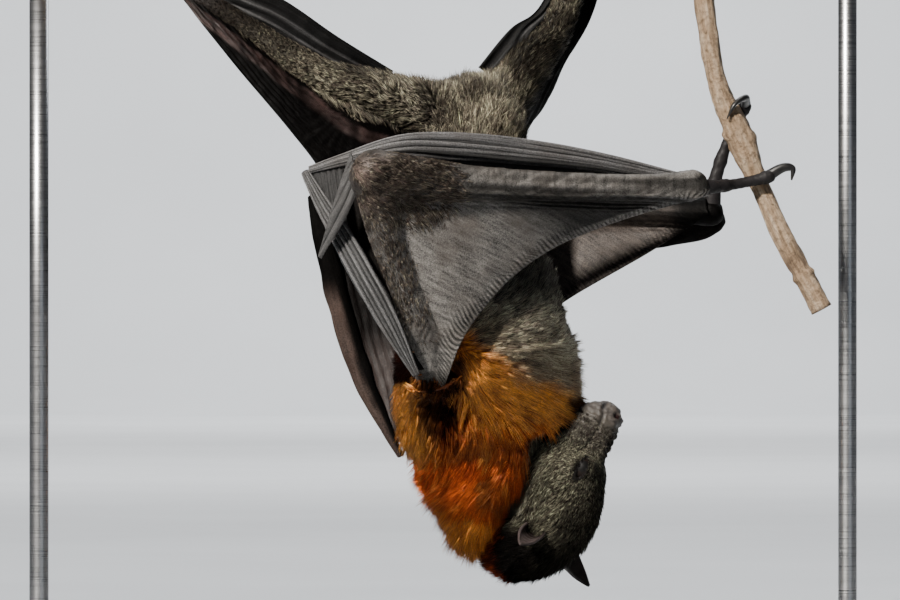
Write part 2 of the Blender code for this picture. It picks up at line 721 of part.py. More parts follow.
def stand_rod(side, sign):
    """A turned rod: a flat foot, and a shaft that ends in a hole in the perch's underside."""
    hold = rod_top(sign)
    bottom = BASE_SIZE[2] * MM + GAP
    profile = [
        (0, bottom),
        (ROD_FOOT_RADIUS * MM, bottom),
        (ROD_FOOT_RADIUS * MM, bottom + ROD_FOOT_HEIGHT * 0.6 * MM),
        (ROD_FOOT_RADIUS * 0.85 * MM, bottom + ROD_FOOT_HEIGHT * MM),
        (ROD_RADIUS * MM, bottom + (ROD_FOOT_HEIGHT + 1) * MM),
        (ROD_RADIUS * MM, hold.z - ROD_TOP_BELOW_AXIS * MM),
        (0, hold.z - ROD_TOP_BELOW_AXIS * MM),
    ]
    made = bmesh.new()
    points = [made.verts.new((x, 0, z)) for x, z in profile]
    edges = [made.edges.new(pair) for pair in zip(points, points[1:])]
    turn = {"cent": (0, 0, 0), "axis": (0, 0, 1), "angle": 2 * math.pi, "steps": 12}
    bmesh.ops.spin(made, geom=points + edges, **turn)
    bmesh.ops.remove_doubles(made, verts=made.verts, dist=FINEST_STEP)
    bmesh.ops.recalc_face_normals(made, faces=made.faces)
    bmesh.ops.translate(made, verts=made.verts, vec=(hold.x, hold.y, 0))
    mesh = bpy.data.meshes.new("rod")
    made.to_mesh(mesh)
    made.free()
    return object_of(f"stand_rod_{side}", mesh)


def stand_base():
    made = bmesh.new()
    bmesh.ops.create_cube(made, size=1)
    size = Vector(BASE_SIZE) * MM
    bmesh.ops.scale(made, vec=size, verts=made.verts)
    bmesh.ops.translate(made, verts=made.verts, vec=(0, 0, size.z / 2))
    upright = [edge for edge in made.edges if abs(edge.verts[0].co.z - edge.verts[1].co.z) > size.z / 2]
    bmesh.ops.bevel(made, geom=upright, offset=12 * MM, segments=3, profile=0.5, affect="EDGES")
    rim = [
        edge
        for edge in made.edges
        if all(abs(vertex.co.z - size.z) < FINEST_STEP for vertex in edge.verts)
    ]
    bmesh.ops.bevel(made, geom=rim, offset=BASE_EDGE * MM, segments=1, profile=0.5, affect="EDGES")
    mesh = bpy.data.meshes.new("base")
    made.to_mesh(mesh)
    made.free()
    return object_of("stand_base", mesh)


# ---- build -------------------------------------------------------------------------------------------


def finish(obj, surface, sharp_angle=50):
    obj.data.materials.clear()
    obj.data.materials.append(surface)
    obj.data.shade_smooth()
    obj.data.set_sharp_from_angle(angle=math.radians(sharp_angle))


def build():
    clear_scene()
    grey = material("grey_fur", GREY_COAT, 0.9)
    rufous = material("rufous_fur", RUFOUS_COAT, 0.9)
    face = material("face_fur", DARK_COAT, 0.85)
    skin = material("bare_skin", BARE_SKIN, 0.55)
    membrane = material("wing_membrane", MEMBRANE, 0.5)
    horn = material("claw_horn", HORN, 0.3)
    eye_surface = material("eye", EYE, 0.08)
    bark = material("branch_bark", BARK, 0.85)
    paint = material("stand_base", BASE_STAIN, 0.45)
    steel = material("stand_steel", STEEL, 0.35, 1.0)

    body = body_whole()
    perch = perch_solid()
    twig = trimmed(twig_solid(), perch)
    rods = [stand_rod("left", -1), stand_rod("right", 1)]
    trimmed(perch, *rods)
    base = stand_base()

    head = trimmed(head_solid(), body)
    ears = [trimmed(ear("left", -1), head, body), trimmed(ear("right", 1), head, body)]
    eyes = [eye("left", -1), eye("right", 1)]
    trimmed(head, *eyes)

    feet = [foot("left", ANKLE_LEFT), foot("right", ANKLE_RIGHT)]
    for piece in feet:
        trimmed(piece, body, perch)
    left, right = wing("left", body), wing("right", body)
    for piece in (left[5], left[6]):
        trimmed(piece, feet[0])
    for piece in (right[5], right[6]):
        trimmed(piece, feet[1])
    folds = [*left_wing_folds(body, left), right_wing_fold(body, right)]
    pieces = parted(body)

    for name, obj in pieces.items():
        if name == "neck":
            surface = rufous
        elif "forearm" in name or "wrist" in name:
            surface = membrane
        else:
            surface = grey
        finish(obj, surface)
    finish(head, face)
    for obj in ears + feet:
        finish(obj, skin)
    for obj in eyes:
        finish(obj, eye_surface)
    for obj in left + right + folds:
        finish(obj, horn if "claw" in obj.name else membrane)
    for obj in (perch, twig):
        finish(obj, bark)
    for obj in rods:
        finish(obj, steel, 30)
    finish(base, paint, 30)


build()
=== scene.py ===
"""The looks of the hanging fruit bat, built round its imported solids.

Lengths are in millimetres, in the frame's own axes, and become metres where a mesh is made. +X runs from the
bat's back to its belly, -Y is the bat's left side, +Z is up, so the head is at the bottom. Routes that repeat
those of the solids keep their names. Shapes are points with faces, made by numpy, and the body's skin starts
from the flesh solids themselves.
"""
import math

import bpy
import numpy as np
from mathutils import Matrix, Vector
from mathutils.bvhtree import BVHTree
from mathutils.kdtree import KDTree


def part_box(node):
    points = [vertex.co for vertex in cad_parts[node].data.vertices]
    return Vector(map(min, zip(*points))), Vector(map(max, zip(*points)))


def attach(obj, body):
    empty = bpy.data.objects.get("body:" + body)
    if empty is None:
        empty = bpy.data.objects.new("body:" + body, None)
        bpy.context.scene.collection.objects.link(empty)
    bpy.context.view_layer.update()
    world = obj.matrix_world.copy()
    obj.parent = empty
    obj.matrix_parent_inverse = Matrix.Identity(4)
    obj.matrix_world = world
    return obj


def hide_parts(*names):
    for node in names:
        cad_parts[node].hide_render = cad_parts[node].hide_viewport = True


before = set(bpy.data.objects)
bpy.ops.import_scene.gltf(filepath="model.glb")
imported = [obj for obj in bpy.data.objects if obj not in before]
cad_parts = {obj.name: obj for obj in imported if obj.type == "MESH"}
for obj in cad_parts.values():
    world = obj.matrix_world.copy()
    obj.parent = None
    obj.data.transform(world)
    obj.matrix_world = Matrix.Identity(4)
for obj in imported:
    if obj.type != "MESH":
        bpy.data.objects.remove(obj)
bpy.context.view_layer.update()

MM = 0.001
rng = np.random.default_rng(11)


# ---- numbers -----------------------------------------------------------------------------------------


def unit(v):
    return v / np.maximum(np.linalg.norm(v, axis=-1, keepdims=True), 1e-9)


def smooth(low, high, x):
    """0 below `low`, 1 above `high`, and an even S between; `low` may be the greater."""
    t = np.clip((x - low) / (high - low), 0, 1)
    return t * t * (3 - 2 * t)


def between(low, full, fade, high, x):
    """0 outside `low` and `high`, 1 from `full` to `fade`."""
    return smooth(low, full, x) * smooth(high, fade, x)


def mixed(a, b, share):
    share = np.asarray(share)[..., None] if np.ndim(share) else share
    return np.asarray(a) * (1 - share) + np.asarray(b) * share


def spline(values, places):
    """A Catmull-Rom curve through `values`, numbers or points, read at `places` from 0 to 1."""
    rows = np.asarray(values, float)
    flat = rows.ndim == 1
    rows = rows[:, None] if flat else rows
    padded = np.vstack([2 * rows[0] - rows[1], rows, 2 * rows[-1] - rows[-2]])
    place = np.clip(np.asarray(places, float), 0, 1) * (len(rows) - 1)
    span = np.minimum(place.astype(int), len(rows) - 2)
    t = (place - span)[:, None]
    a, b, c, d = (padded[span + k] for k in range(4))
    made = b + 0.5 * t * (c - a + t * (2 * a - 5 * b + 4 * c - d + t * (3 * b - a - 3 * c + d)))
    return made[:, 0] if flat else made


def lattice(cells, seed):
    """A number from 0 to 1 for each whole-numbered cell."""
    x, y, z = (cells[..., k].astype(np.uint64) for k in range(3))
    mask = np.uint64(0xFFFFFFFF)
    h = (x * np.uint64(374761393) + y * np.uint64(668265263) + z * np.uint64(2246822519)) & mask
    h = (h + np.uint64(seed * 7919 + 1)) & mask
    h = ((h ^ (h >> np.uint64(13))) * np.uint64(1274126177)) & mask
    return ((h ^ (h >> np.uint64(16))) & mask).astype(float) / 0xFFFFFFFF


def noise(points, size, seed=0):
    """Smooth noise from -1 to 1, its bumps about `size` millimetres across."""
    q = np.asarray(points, float) / size + 4096
    cell = np.floor(q)
    f = q - cell
    f = f * f * (3 - 2 * f)
    total = np.zeros(q.shape[:-1])
    for corner in np.ndindex(2, 2, 2):
        weight = np.prod(np.where(corner, f, 1 - f), axis=-1)
        total += weight * lattice(cell + corner, seed)
    return total * 2 - 1


def noise3(points, size, seed=0):
    return np.stack([noise(points, size, seed + k) for k in range(3)], axis=-1)


def tone(red, green, blue):
    """A linear colour from display values of 0 to 255."""
    c = np.array((red, green, blue)) / 255
    return np.where(c < 0.04045, c / 12.92, ((c + 0.055) / 1.055) ** 2.4)


# ---- the pose, as in the solids ----------------------------------------------------------------------

SPINE = [
    ((1, 3, 267), 13), ((3, 4, 259), 22), ((5, 4, 245), 28), ((7, 4, 222), 28), ((9, 4, 197), 30),
    ((12, 4, 172), 34), ((14, 4, 150), 36), ((14, 4, 132), 37), ((14, 4, 118), 35), ((16, 3.5, 107), 31),
    ((19.5, 3, 97), 28), ((24.5, 3, 90.5), 28), ((29, 2.5, 87), 24),
]
HIP = {"left": (-8, -8, 251), "right": (20, 13, 254)}
KNEE = {"left": (-56, -24, 267), "right": (46, 24, 289)}
ANKLE = {"left": (-117, -33, 306), "right": (68, 29, 356)}
SHOULDER = {"left": (-4, -24, 134), "right": (-8, 32, 130)}
ELBOW = {"left": (-35, -66, 223), "right": (-33, 64, 218)}
WRIST = {"left": (101, -20, 219), "right": (110, 9, 208.5)}
LEG_RADII = (15, 12.5, 9.5, 6.8, 4.8)
UPPER_ARM_RADII = (16, 8.5, 6, 6.5, 8)
FOREARM_RADII = (8, 8, 7, 6, 5, 4.6, 6.8)
FOREARM_SAG = 1.5

HEAD = np.array((38, 2, 78.5))
MUZZLE_PITCH, HEAD_ROLL = math.radians(58), math.radians(10)
HEAD_PROFILE = [
    (-27, 4, -6, 6), (-24.5, 9, -12, 12), (-18, 15.5, -17.5, 17.5), (-10, 20.5, -20.5, 20.8),
    (-1, 23.6, -21.5, 22.2), (8, 24.4, -20.5, 21.8), (17, 22, -18, 20), (24, 18, -15.5, 17.4),
    (30, 13.2, -13, 14), (36, 10, -11.4, 11), (43, 8.6, -10.6, 9.3), (50, 7.6, -9.8, 8.5),
    (54.5, 6.4, -8.2, 7.2), (57.5, 4, -4.5, 4.6),
]
EYE_PLACE, EYE_RADIUS = (28.5, 12.2, 4.6), 5.6
EAR_ROOT, EAR_LENGTH = (-4.5, 17, 2.5), 34
EAR_SIZE = {"left": 0.72, "right": 1.02}
EAR_LEAN = {"left": (-0.30, 0.95, 0.02), "right": (-0.23, 0.42, 0.88)}

PERCH_LEFT, PERCH_RIGHT = np.array((-178, -56, 317.8)), np.array((178, 67.2, 406.5))
PERCH_RADIUS = 8
TWIG_ROUTE = [
    (97, 34.5, 379), (102, 24, 360), (104.5, 12, 325), (107.5, 3, 293), (112.2, 0, 264),
    (121, 0, 242), (131, 0, 218), (141.5, -2, 195), (156, -4, 168),
]
TWIG_RADII = (6.5, 4.8, 4.4, 4.3, 4.0, 5.7, 4.0, 4.3, 4.5)
FOOT_ON_PERCH = {"left": 0.145, "right": 0.712}
TOE_RADIUS, TOE_SPACING, TOES = 1.7, 4.1, 5

FINGERS_ROUTE = {
    "left": [
        (98, -17, 222), (63, -27, 229), (29, -38, 233.5), (0, -48, 236),
        (-21, -54, 236), (-43, -51, 230.5), (-58, -46, 226),
    ],
    "right": [
        (106, 14, 216), (71, 25, 224), (38, 38, 229), (4, 52, 231),
        (-19, 60, 230), (-40, 56, 226), (-58, 47, 219),
    ],
}
TIP_ROUTE = {
    "left": [
        (-60, -45.5, 225), (-53, -47.5, 212), (-43.5, -50, 196), (-27, -51, 166),
        (-14, -48, 141),
    ],
    "right": [(-59, 46, 216), (-54.5, 43, 199), (-46.5, 41, 168), (-36, 37, 136), (-21, 33, 106)],
}
FORE_WEB_FREE = {
    "left": [
        (100, -18, 213.5), (71, -22, 205), (46, -26, 195), (29, -30, 184),
        (16, -33, 171), (5, -35, 155), (-3, -34, 134),
    ],
    "right": [(109, 10, 208), (84, 14, 192), (52, 22, 173.5), (30, 30, 158), (8, 35, 141)],
}
FORE_WEB_ARM = {
    "left": [
        (99, -20, 216.5), (46, -38, 217), (0, -53, 219), (-32, -64, 217),
        (-25, -52, 190), (-14, -38, 162), (-6, -30, 138),
    ],
    "right": [(108, 9, 211), (52, 27, 212), (4, 46, 215), (-29, 61, 213), (-20, 48, 180)],
}
FORE_WEB_BULGE = {"left": -4.5, "right": 4}
FLANK_WEB_BODY = {
    "left": [
        (-112, -32, 302), (-84, -27, 283), (-58, -22, 262), (-28, -19, 245),
        (-18, -18, 214), (-14, -20, 180), (-6, -22, 146),
    ],
    "right": [
        (66, 30, 350), (52, 27, 304), (34, 22, 266), (24, 24, 236),
        (14, 26, 204), (4, 28, 172), (-3, 29, 144),
    ],
}
FLANK_WEB_FREE = {
    "left": [
        (-111, -34, 297), (-90, -38, 271), (-66, -42, 246), (-48, -47, 229),
        (-36, -50, 208), (-24, -42, 178), (-10, -32, 148),
    ],
    "right": [
        (70, 34, 348), (62, 37, 299), (48, 40, 273), (34, 42, 249),
        (-2, 47, 224), (-14, 41, 186), (-8, 33, 150),
    ],
}
LEG_WEB_BODY = {
    "left": [(-98, -30, 294), (-76, -27, 281), (-52, -20, 268), (-26, -9, 258)],
    "right": [(63, 28, 346), (50, 25, 302), (42, 21, 284), (24, 13, 264)],
}
LEG_WEB_FREE = {
    "left": [(-93, -31, 306), (-71, -26, 298), (-47, -18, 282), (-24, -7, 268)],
    "right": [(57, 28, 340), (39, 23, 298), (25, 17, 286), (12, 10, 270)],
}
TIP_WEB = (
    [(-57, 46, 211), (-52, 44.5, 196), (-44, 42.5, 168), (-34, 38.5, 136), (-23, 34.5, 111)],
    [(-38, 56, 209), (-30, 52, 194), (-22, 43, 168), (-14, 37, 140), (-10, 34, 118)],
)
THUMB_ROUTE = {
    "left": [
        (100, -20, 219.5), (109, -17.5, 219.3), (118, -10.5, 220.3), (127, -7.8, 222),
        (134, -7.2, 223.8),
    ],
    "right": [
        (110, 9, 211), (111.5, 8, 222), (115.5, 8, 235), (120.5, 8.2, 247),
        (124.2, 5.5, 253.5),
    ],
}
CLAW_ROUTE = {
    "left": [(133, -7.2, 223.8), (139.5, -7.2, 227.4), (143.6, -7, 227), (143.2, -6.8, 222.4)],
    "right": [(124.4, 5, 254), (123.6, -2.2, 256.6), (119.3, -6.6, 254), (116.2, -6.9, 248.2)],
}
PALM_WEB = (
    [(-57, -46, 222), (-50, -47, 207), (-45, -48, 194)],
    [(-44, -50, 227), (-43, -50.5, 213), (-42.5, -50.8, 199)],
)
POINTED_FOLD = (
    [(-41, -59, 233), (-48, -58.5, 212), (-54.5, -56, 190)],
    [(-37, -60, 221), (-42, -59.5, 208), (-53.2, -56, 189)],
)


# ---- shapes ------------------------------------------------------------------------------------------


class Shape:
    """Points in millimetres, faces as arrays of three or four corners, and values kept for each point."""

    def __init__(self, points, faces, **values):
        self.points = np.asarray(points, float)
        self.faces = [np.asarray(group, np.int64) for group in faces if len(group)]
        self.values = values

    def normals(self):
        total = np.zeros_like(self.points)
        for group in self.faces:
            p = self.points[group]
            n = np.cross(p[:, 1] - p[:, 0], p[:, -1] - p[:, 0])
            for k in range(group.shape[1]):
                np.add.at(total, group[:, k], n)
        return unit(total)


def joined(shapes):
    points, faces, start = [], [], 0
    values = {key: [] for key in shapes[0].values}
    for shape in shapes:
        points.append(shape.points)
        faces += [group + start for group in shape.faces]
        for key in values:
            values[key].append(shape.values[key])
        start += len(shape.points)
    return Shape(np.vstack(points), faces, **{key: np.concatenate(v) for key, v in values.items()})


def grid_faces(rows, columns, closed=False):
    """Quads over a grid of points stored row by row; `closed` joins each row's ends."""
    i = np.arange(rows - 1)[:, None]
    j = np.arange(columns if closed else columns - 1)[None, :]
    k = (j + 1) % columns
    a, b = i * columns + j, i * columns + k
    c, d = (i + 1) * columns + k, (i + 1) * columns + j
    return np.stack([a, b, c, d], axis=-1).reshape(-1, 4)


def ringed(rings, first, last, **values):
    """A closed solid over an array of rings, with a fan of faces to a point at each end."""
    count, sides = rings.shape[:2]
    k = np.arange(sides)
    after, end = (k + 1) % sides, (count - 1) * sides
    caps = np.vstack([
        np.stack([after, k, np.full(sides, count * sides)], axis=1),
        np.stack([end + k, end + after, np.full(sides, count * sides + 1)], axis=1),
    ])
    points = np.vstack([rings.reshape(-1, 3), first, last])
    return Shape(points, [grid_faces(count, sides, closed=True), caps], **values)


def turns_of(sides):
    """Angles evenly round a ring."""
    return np.arange(sides) * 2 * np.pi / sides


def flipped(shape):
    shape.faces = [group[:, ::-1] for group in shape.faces]
    return shape


def bell(x, centre, width):
    """1 at the centre, falling off evenly to both sides."""
    return np.exp(-(((x - centre) / width) ** 2))


def tube(path, wide, high, across, sides=16, ripple=None, power=1.0, round_ends=True):
    """A closed tube along `path`. `ripple(s, angle)` scales it, and `power` under 1 squares it."""
    path = np.asarray(path, float)
    wide, high = np.broadcast_to(wide, len(path)), np.broadcast_to(high, len(path))
    across = np.broadcast_to(np.asarray(across, float), path.shape)
    if round_ends:
        reach = np.array([0.0, 0.55, 0.87])
        across = np.vstack([across[:1], across[:1], across, across[-1:], across[-1:]])
        for end in (0, -1):
            heading = unit(path[end] - path[1 if end == 0 else -2])
            size = min(wide[end], high[end])
            more = path[end] + heading * (size * 0.9 * reach[1:, None])
            less = np.sqrt(1 - reach[1:] ** 2)
            if end == 0:
                path = np.vstack([more[::-1], path])
                wide = np.concatenate([wide[0] * less[::-1], wide])
                high = np.concatenate([high[0] * less[::-1], high])
            else:
                path = np.vstack([path, more])
                wide = np.concatenate([wide, wide[-1] * less])
                high = np.concatenate([high, high[-1] * less])
    count = len(path)
    along = unit(np.gradient(path, axis=0))
    side = unit(across - along * np.sum(across * along, axis=1, keepdims=True))
    rise = np.cross(along, side)
    s, angle = np.meshgrid(np.linspace(0, 1, count), turns_of(sides), indexing="ij")
    scale = np.ones_like(s) if ripple is None else ripple(s, angle)
    c = np.sign(np.cos(angle)) * np.abs(np.cos(angle)) ** power
    h = np.sign(np.sin(angle)) * np.abs(np.sin(angle)) ** power
    ring = path[:, None] + side[:, None] * (wide[:, None] * c * scale)[..., None]
    ring = ring + rise[:, None] * (high[:, None] * h * scale)[..., None]
    lengthwise = np.concatenate([[0], np.cumsum(np.linalg.norm(np.diff(path, axis=0), axis=1))])
    lie = np.stack([np.broadcast_to(lengthwise[:, None], s.shape), angle, s], axis=-1).reshape(-1, 3)
    lie = np.vstack([lie, [0, 0, 0], [lengthwise[-1], 0, 1]])
    return ringed(ring, path[0], path[-1], lie=lie)


def slab(front, back, lie):
    """A closed thin solid between a front and a back grid of points."""
    rows, columns = front.shape[:2]
    points = np.vstack([front.reshape(-1, 3), back.reshape(-1, 3)])
    half = rows * columns
    face = grid_faces(rows, columns)
    edge = np.concatenate([
        np.arange(columns),
        np.arange(1, rows) * columns + columns - 1,
        (rows - 1) * columns + np.arange(columns - 2, -1, -1),
        np.arange(rows - 2, 0, -1) * columns,
    ])
    after = np.roll(edge, -1)
    rim = np.stack([after, edge, edge + half, after + half], axis=1)
    lie = lie.reshape(-1, 3)
    shape = Shape(points, [face, face[:, ::-1] + half, rim], lie=np.vstack([lie, lie]))
    centre = face[len(face) // 2]
    p = points[centre]
    outward = np.cross(p[1] - p[0], p[3] - p[0])
    if np.dot(outward, points[centre[0]] - points[centre[0] + half]) < 0:
        flipped(shape)
    return shape


def grid_normals(grid):
    return unit(np.cross(np.gradient(grid, axis=1), np.gradient(grid, axis=0)))


def web_grid(inner, outer, bow, columns, rows):
    """A grid between two routes, which bows by `bow` between them, with places along and across."""
    full_bow = 30  # the width from which it bows fully
    u = np.linspace(0, 1, columns)
    v = np.linspace(0, 1, rows)[:, None, None]
    a, b = spline(inner, u)[None], spline(outer, u)[None]
    width = np.linalg.norm(b - a, axis=-1, keepdims=True)
    grid = a + (b - a) * v + 4 * v * (1 - v) * np.minimum(1, width / full_bow) * np.asarray(bow, float)
    along = np.cumsum(np.linalg.norm(np.diff(grid[-1], axis=0, prepend=grid[-1][:1]), axis=1))
    lie = np.empty_like(grid)
    lie[..., 0] = along[None]
    lie[..., 1] = ((1 - v) * width)[..., 0]
    lie[..., 2] = np.broadcast_to(v[..., 0], lie[..., 2].shape)
    return grid, lie


def pleated(grid, lie, thickness, height, wave, seed, fade=(0.0, 0.15)):
    """The grid as a slab whose faces carry lengthwise folds `wave` millimetres apart."""
    n = grid_normals(grid)
    phase = lie[..., 1] / wave + 0.35 * noise(grid, wave * 5, seed)
    fold = np.abs(np.sin(np.pi * phase)) ** 0.7 - 0.5
    edge = smooth(fade[0], fade[1], lie[..., 2]) * smooth(0, 0.03, 1 - lie[..., 2])
    lift = height * fold * edge + 0.25 * height * noise(grid, wave * 1.3, seed + 3) * edge
    middle = grid + n * lift[..., None]
    half = n * (thickness / 2)
    return slab(middle + half, middle - half, lie)


# ---- materials ---------------------------------------------------------------------------------------


class Surface:
    """A material round one Principled shader, with a few words for its nodes."""

    def __init__(self, name, **settings):
        self.made = bpy.data.materials.new(name)
        self.made.use_nodes = True
        self.tree = self.made.node_tree
        self.shader = self.tree.nodes["Principled BSDF"]
        for key, value in settings.items():
            self.shader.inputs[key.replace("_", " ")].default_value = value
        self.place = self.tree.nodes.new("ShaderNodeTexCoord").outputs["Object"]

    def node(self, kind, inputs=(), **settings):
        made = self.tree.nodes.new("ShaderNode" + kind)
        for key, value in settings.items():
            setattr(made, key, value)
        for key, value in dict(inputs).items():
            if isinstance(value, bpy.types.NodeSocket):
                self.tree.links.new(value, made.inputs[key])
            else:
                made.inputs[key].default_value = value
        return made

    def attribute(self, name, output):
        return self.node("Attribute", attribute_name=name).outputs[output]

    def stretched(self, vector, scale):
        return self.node("Mapping", {"Vector": vector, "Scale": scale}).outputs["Vector"]

    def noise(self, scale, detail=4.0, roughness=0.55, vector=None):
        inputs = {"Vector": vector or self.place, "Scale": scale, "Detail": detail, "Roughness": roughness}
        return self.node("TexNoise", inputs).outputs["Fac"]

    def maths(self, operation, a, b):
        return self.node("Math", {0: a, 1: b}, operation=operation).outputs[0]

    def range(self, value, low, high, to_low=0.0, to_high=1.0):
        inputs = {"Value": value, "From Min": low, "From Max": high, "To Min": to_low, "To Max": to_high}
        return self.node("MapRange", inputs).outputs["Result"]

    def mix(self, share, a, b, blend="MIX"):
        made = self.node("Mix", {0: share, 6: a, 7: b}, data_type="RGBA", blend_type=blend)
        return made.outputs[2]

    def dimmed(self, colour, factor):
        """The colour times a plain number."""
        grey = self.node("CombineColor", {0: factor, 1: factor, 2: factor}).outputs[0]
        return self.mix(1.0, colour, grey, "MULTIPLY")

    def blended(self, a, share_a, b, share_b):
        """Two numbers added up by their shares."""
        return self.maths("ADD", self.maths("MULTIPLY", a, share_a), self.maths("MULTIPLY", b, share_b))

    def ramp(self, value, *stops):
        made = self.node("ValToRGB", {"Fac": value})
        elements = made.color_ramp.elements
        while len(elements) < len(stops):
            elements.new(1.0)
        for element, (place, colour) in zip(elements, stops):
            element.position = place
            element.color = (*colour, 1)
        return made.outputs["Color"]

    def bump(self, height, strength, distance_mm, under=None):
        inputs = {"Height": height, "Strength": strength, "Distance": distance_mm * MM}
        if under is not None:
            inputs["Normal"] = under
        return self.node("Bump", inputs).outputs["Normal"]

    def set(self, **links):
        for key, value in links.items():
            self.tree.links.new(value, self.shader.inputs[key.replace("_", " ")])
        return self.made


def fur_material(name, roughness):
    """Hair: the colour each tuft carries, streaked finely, with a soft gloss that dark hair lacks."""
    s = Surface(name, Roughness=roughness)
    coat = s.attribute("coat", "Color")
    s.set(Specular_IOR_Level=s.range(coat, 0.0, 0.10, 0.03, 0.26))
    colour = s.dimmed(coat, s.range(s.noise(900, 2), 0.3, 0.7, 0.72, 1.25))
    normal = s.bump(s.noise(1500, 2), 0.25, 0.15)
    return s.set(Base_Color=colour, Normal=normal)


def skin_material():
    """The skin under the coat and on the arms: its own markings, pores and fine wrinkles."""
    s = Surface("bat_skin", Roughness=0.5)
    coat = s.attribute("coat", "Color")
    s.set(Specular_IOR_Level=s.range(coat, 0.0, 0.03, 0.04, 0.3))
    colour = s.dimmed(coat, s.range(s.noise(160, 5), 0.3, 0.7, 0.78, 1.22))
    fine = s.maths("ADD", s.noise(1400, 4), s.maths("MULTIPLY", s.noise(320, 4), 1.4))
    roughness = s.range(s.noise(600, 3), 0.3, 0.7, 0.4, 0.62)
    return s.set(Base_Color=colour, Normal=s.bump(fine, 0.5, 0.35), Roughness=roughness)


def membrane_material(name, dark, light, brown, grain=(650.0, 80.0), gloss=(0.42, 0.62), specular=0.38):
    """Wing skin: leathery, with fine pores and lengthwise wrinkles."""
    s = Surface(name)
    s.set(Specular_IOR_Level=s.range(s.attribute("coat", "Color"), 0.0, 0.6, 0.12 * specular, specular))
    lie = s.attribute("lie", "Vector")
    lines = s.noise(1.0, 3, 0.6, s.stretched(lie, (grain[0] * MM, grain[1] * MM, 2.0)))
    pores = s.noise(1900, 3, 0.6)
    patches = s.noise(70, 4, 0.6)
    base = s.ramp(s.blended(lines, 0.45, pores, 0.55), (0.36, dark), (0.64, light))
    base = s.mix(s.range(patches, 0.45, 0.75, 0.0, 0.7), base, (*brown, 1))
    base = s.mix(1.0, base, s.attribute("coat", "Color"), "MULTIPLY")
    normal = s.bump(s.blended(lines, 0.8, pores, 0.8), 0.75, 0.4, s.bump(patches, 0.3, 2.0))
    roughness = s.range(s.noise(300, 3), 0.3, 0.7, *gloss)
    return s.set(Base_Color=base, Normal=normal, Roughness=roughness)


def horn_material():
    """Black claws, a little paler towards the point."""
    s = Surface("claw_horn", Coat_Weight=0.12, Coat_Roughness=0.25)
    lie = s.attribute("lie", "Vector")
    streak = s.noise(1.0, 3, 0.6, s.stretched(lie, (0.25, 3.0, 6.0)))
    split = s.node("SeparateXYZ", {0: lie})
    body = s.ramp(streak, (0.3, tone(9, 9, 10)), (0.7, tone(28, 26, 26)))
    colour = s.mix(s.range(split.outputs[2], 0.75, 1.0, 0.0, 0.5), body, (*tone(52, 47, 42), 1))
    normal = s.bump(streak, 0.3, 0.2)
    return s.set(Base_Color=colour, Normal=normal, Roughness=s.range(streak, 0.3, 0.7, 0.3, 0.48))


def eye_material():
    """A dark red-brown iris round a darker pupil; `lie` x is the angle from where the eye looks."""
    s = Surface("bat_eye", Coat_Weight=0.02, Coat_Roughness=0.08, Roughness=0.6, Specular_IOR_Level=0.2)
    lie = s.attribute("lie", "Vector")
    split = s.node("SeparateXYZ", {0: lie})
    rays = s.noise(1.0, 3, 0.6, s.stretched(lie, (1.5, 9.0, 1.0)))
    iris = s.ramp(rays, (0.3, tone(9, 6, 5)), (0.7, tone(26, 15, 10)))
    colour = s.mix(s.range(split.outputs[0], 0.42, 0.48, 1.0, 0.0), iris, (*tone(6, 5, 5), 1))
    colour = s.mix(s.range(split.outputs[0], 0.95, 1.1, 0.0, 1.0), colour, (*tone(26, 16, 13), 1))
    return s.set(Base_Color=colour)


def bark_material(name, pale, mid, dark):
    """Grooved bark in three tones, with darker pits and patches."""
    s = Surface(name)
    lie = s.attribute("lie", "Vector")
    fibre = s.noise(1.0, 6, 0.65, s.stretched(lie, (0.09, 2.2, 0.0)))
    spots = s.node("TexVoronoi", {"Vector": s.place, "Scale": 420.0}).outputs["Distance"]
    patches = s.noise(38, 5, 0.6)
    colour = s.ramp(s.blended(fibre, 0.6, patches, 0.4), (0.34, dark), (0.5, mid), (0.66, pale))
    speck = s.range(spots, 0.15, 0.35, 0.3, 0.0)
    colour = s.mix(s.maths("MULTIPLY", speck, s.range(s.noise(150, 4), 0.42, 0.56)), colour, (*dark, 1))
    rough = s.noise(380, 6, 0.75)
    colour = s.mix(s.range(rough, 0.5, 0.64, 0.0, 0.6), colour, (*dark, 1))
    height = s.maths("ADD", fibre, s.maths("MULTIPLY", rough, 1.6))
    normal = s.bump(height, 1.0, 1.6)
    return s.set(Base_Color=colour, Normal=normal, Roughness=s.range(fibre, 0.3, 0.7, 0.66, 0.9))


def steel_material():
    s = Surface("stand_steel", Metallic=1.0)
    turning = s.noise(1.0, 3, 0.5, s.stretched(s.place, (40.0, 40.0, 5200.0)))
    colour = s.ramp(turning, (0.3, (0.47, 0.47, 0.48)), (0.7, (0.55, 0.55, 0.56)))
    roughness = s.range(turning, 0.3, 0.7, 0.24, 0.42)
    return s.set(Base_Color=colour, Roughness=roughness, Normal=s.bump(turning, 0.15, 0.05))


def base_material():
    s = Surface("stand_base_paint", Coat_Weight=0.15, Coat_Roughness=0.3)
    grain = s.noise(1.0, 6, 0.6, s.stretched(s.place, (14.0, 420.0, 260.0)))
    colour = s.ramp(grain, (0.35, tone(46, 45, 47)), (0.65, tone(78, 76, 77)))
    roughness = s.range(s.noise(220, 4), 0.3, 0.7, 0.38, 0.56)
    return s.set(Base_Color=colour, Roughness=roughness, Normal=s.bump(grain, 0.35, 0.3))


# ---- pieces ------------------------------------------------------------------------------------------


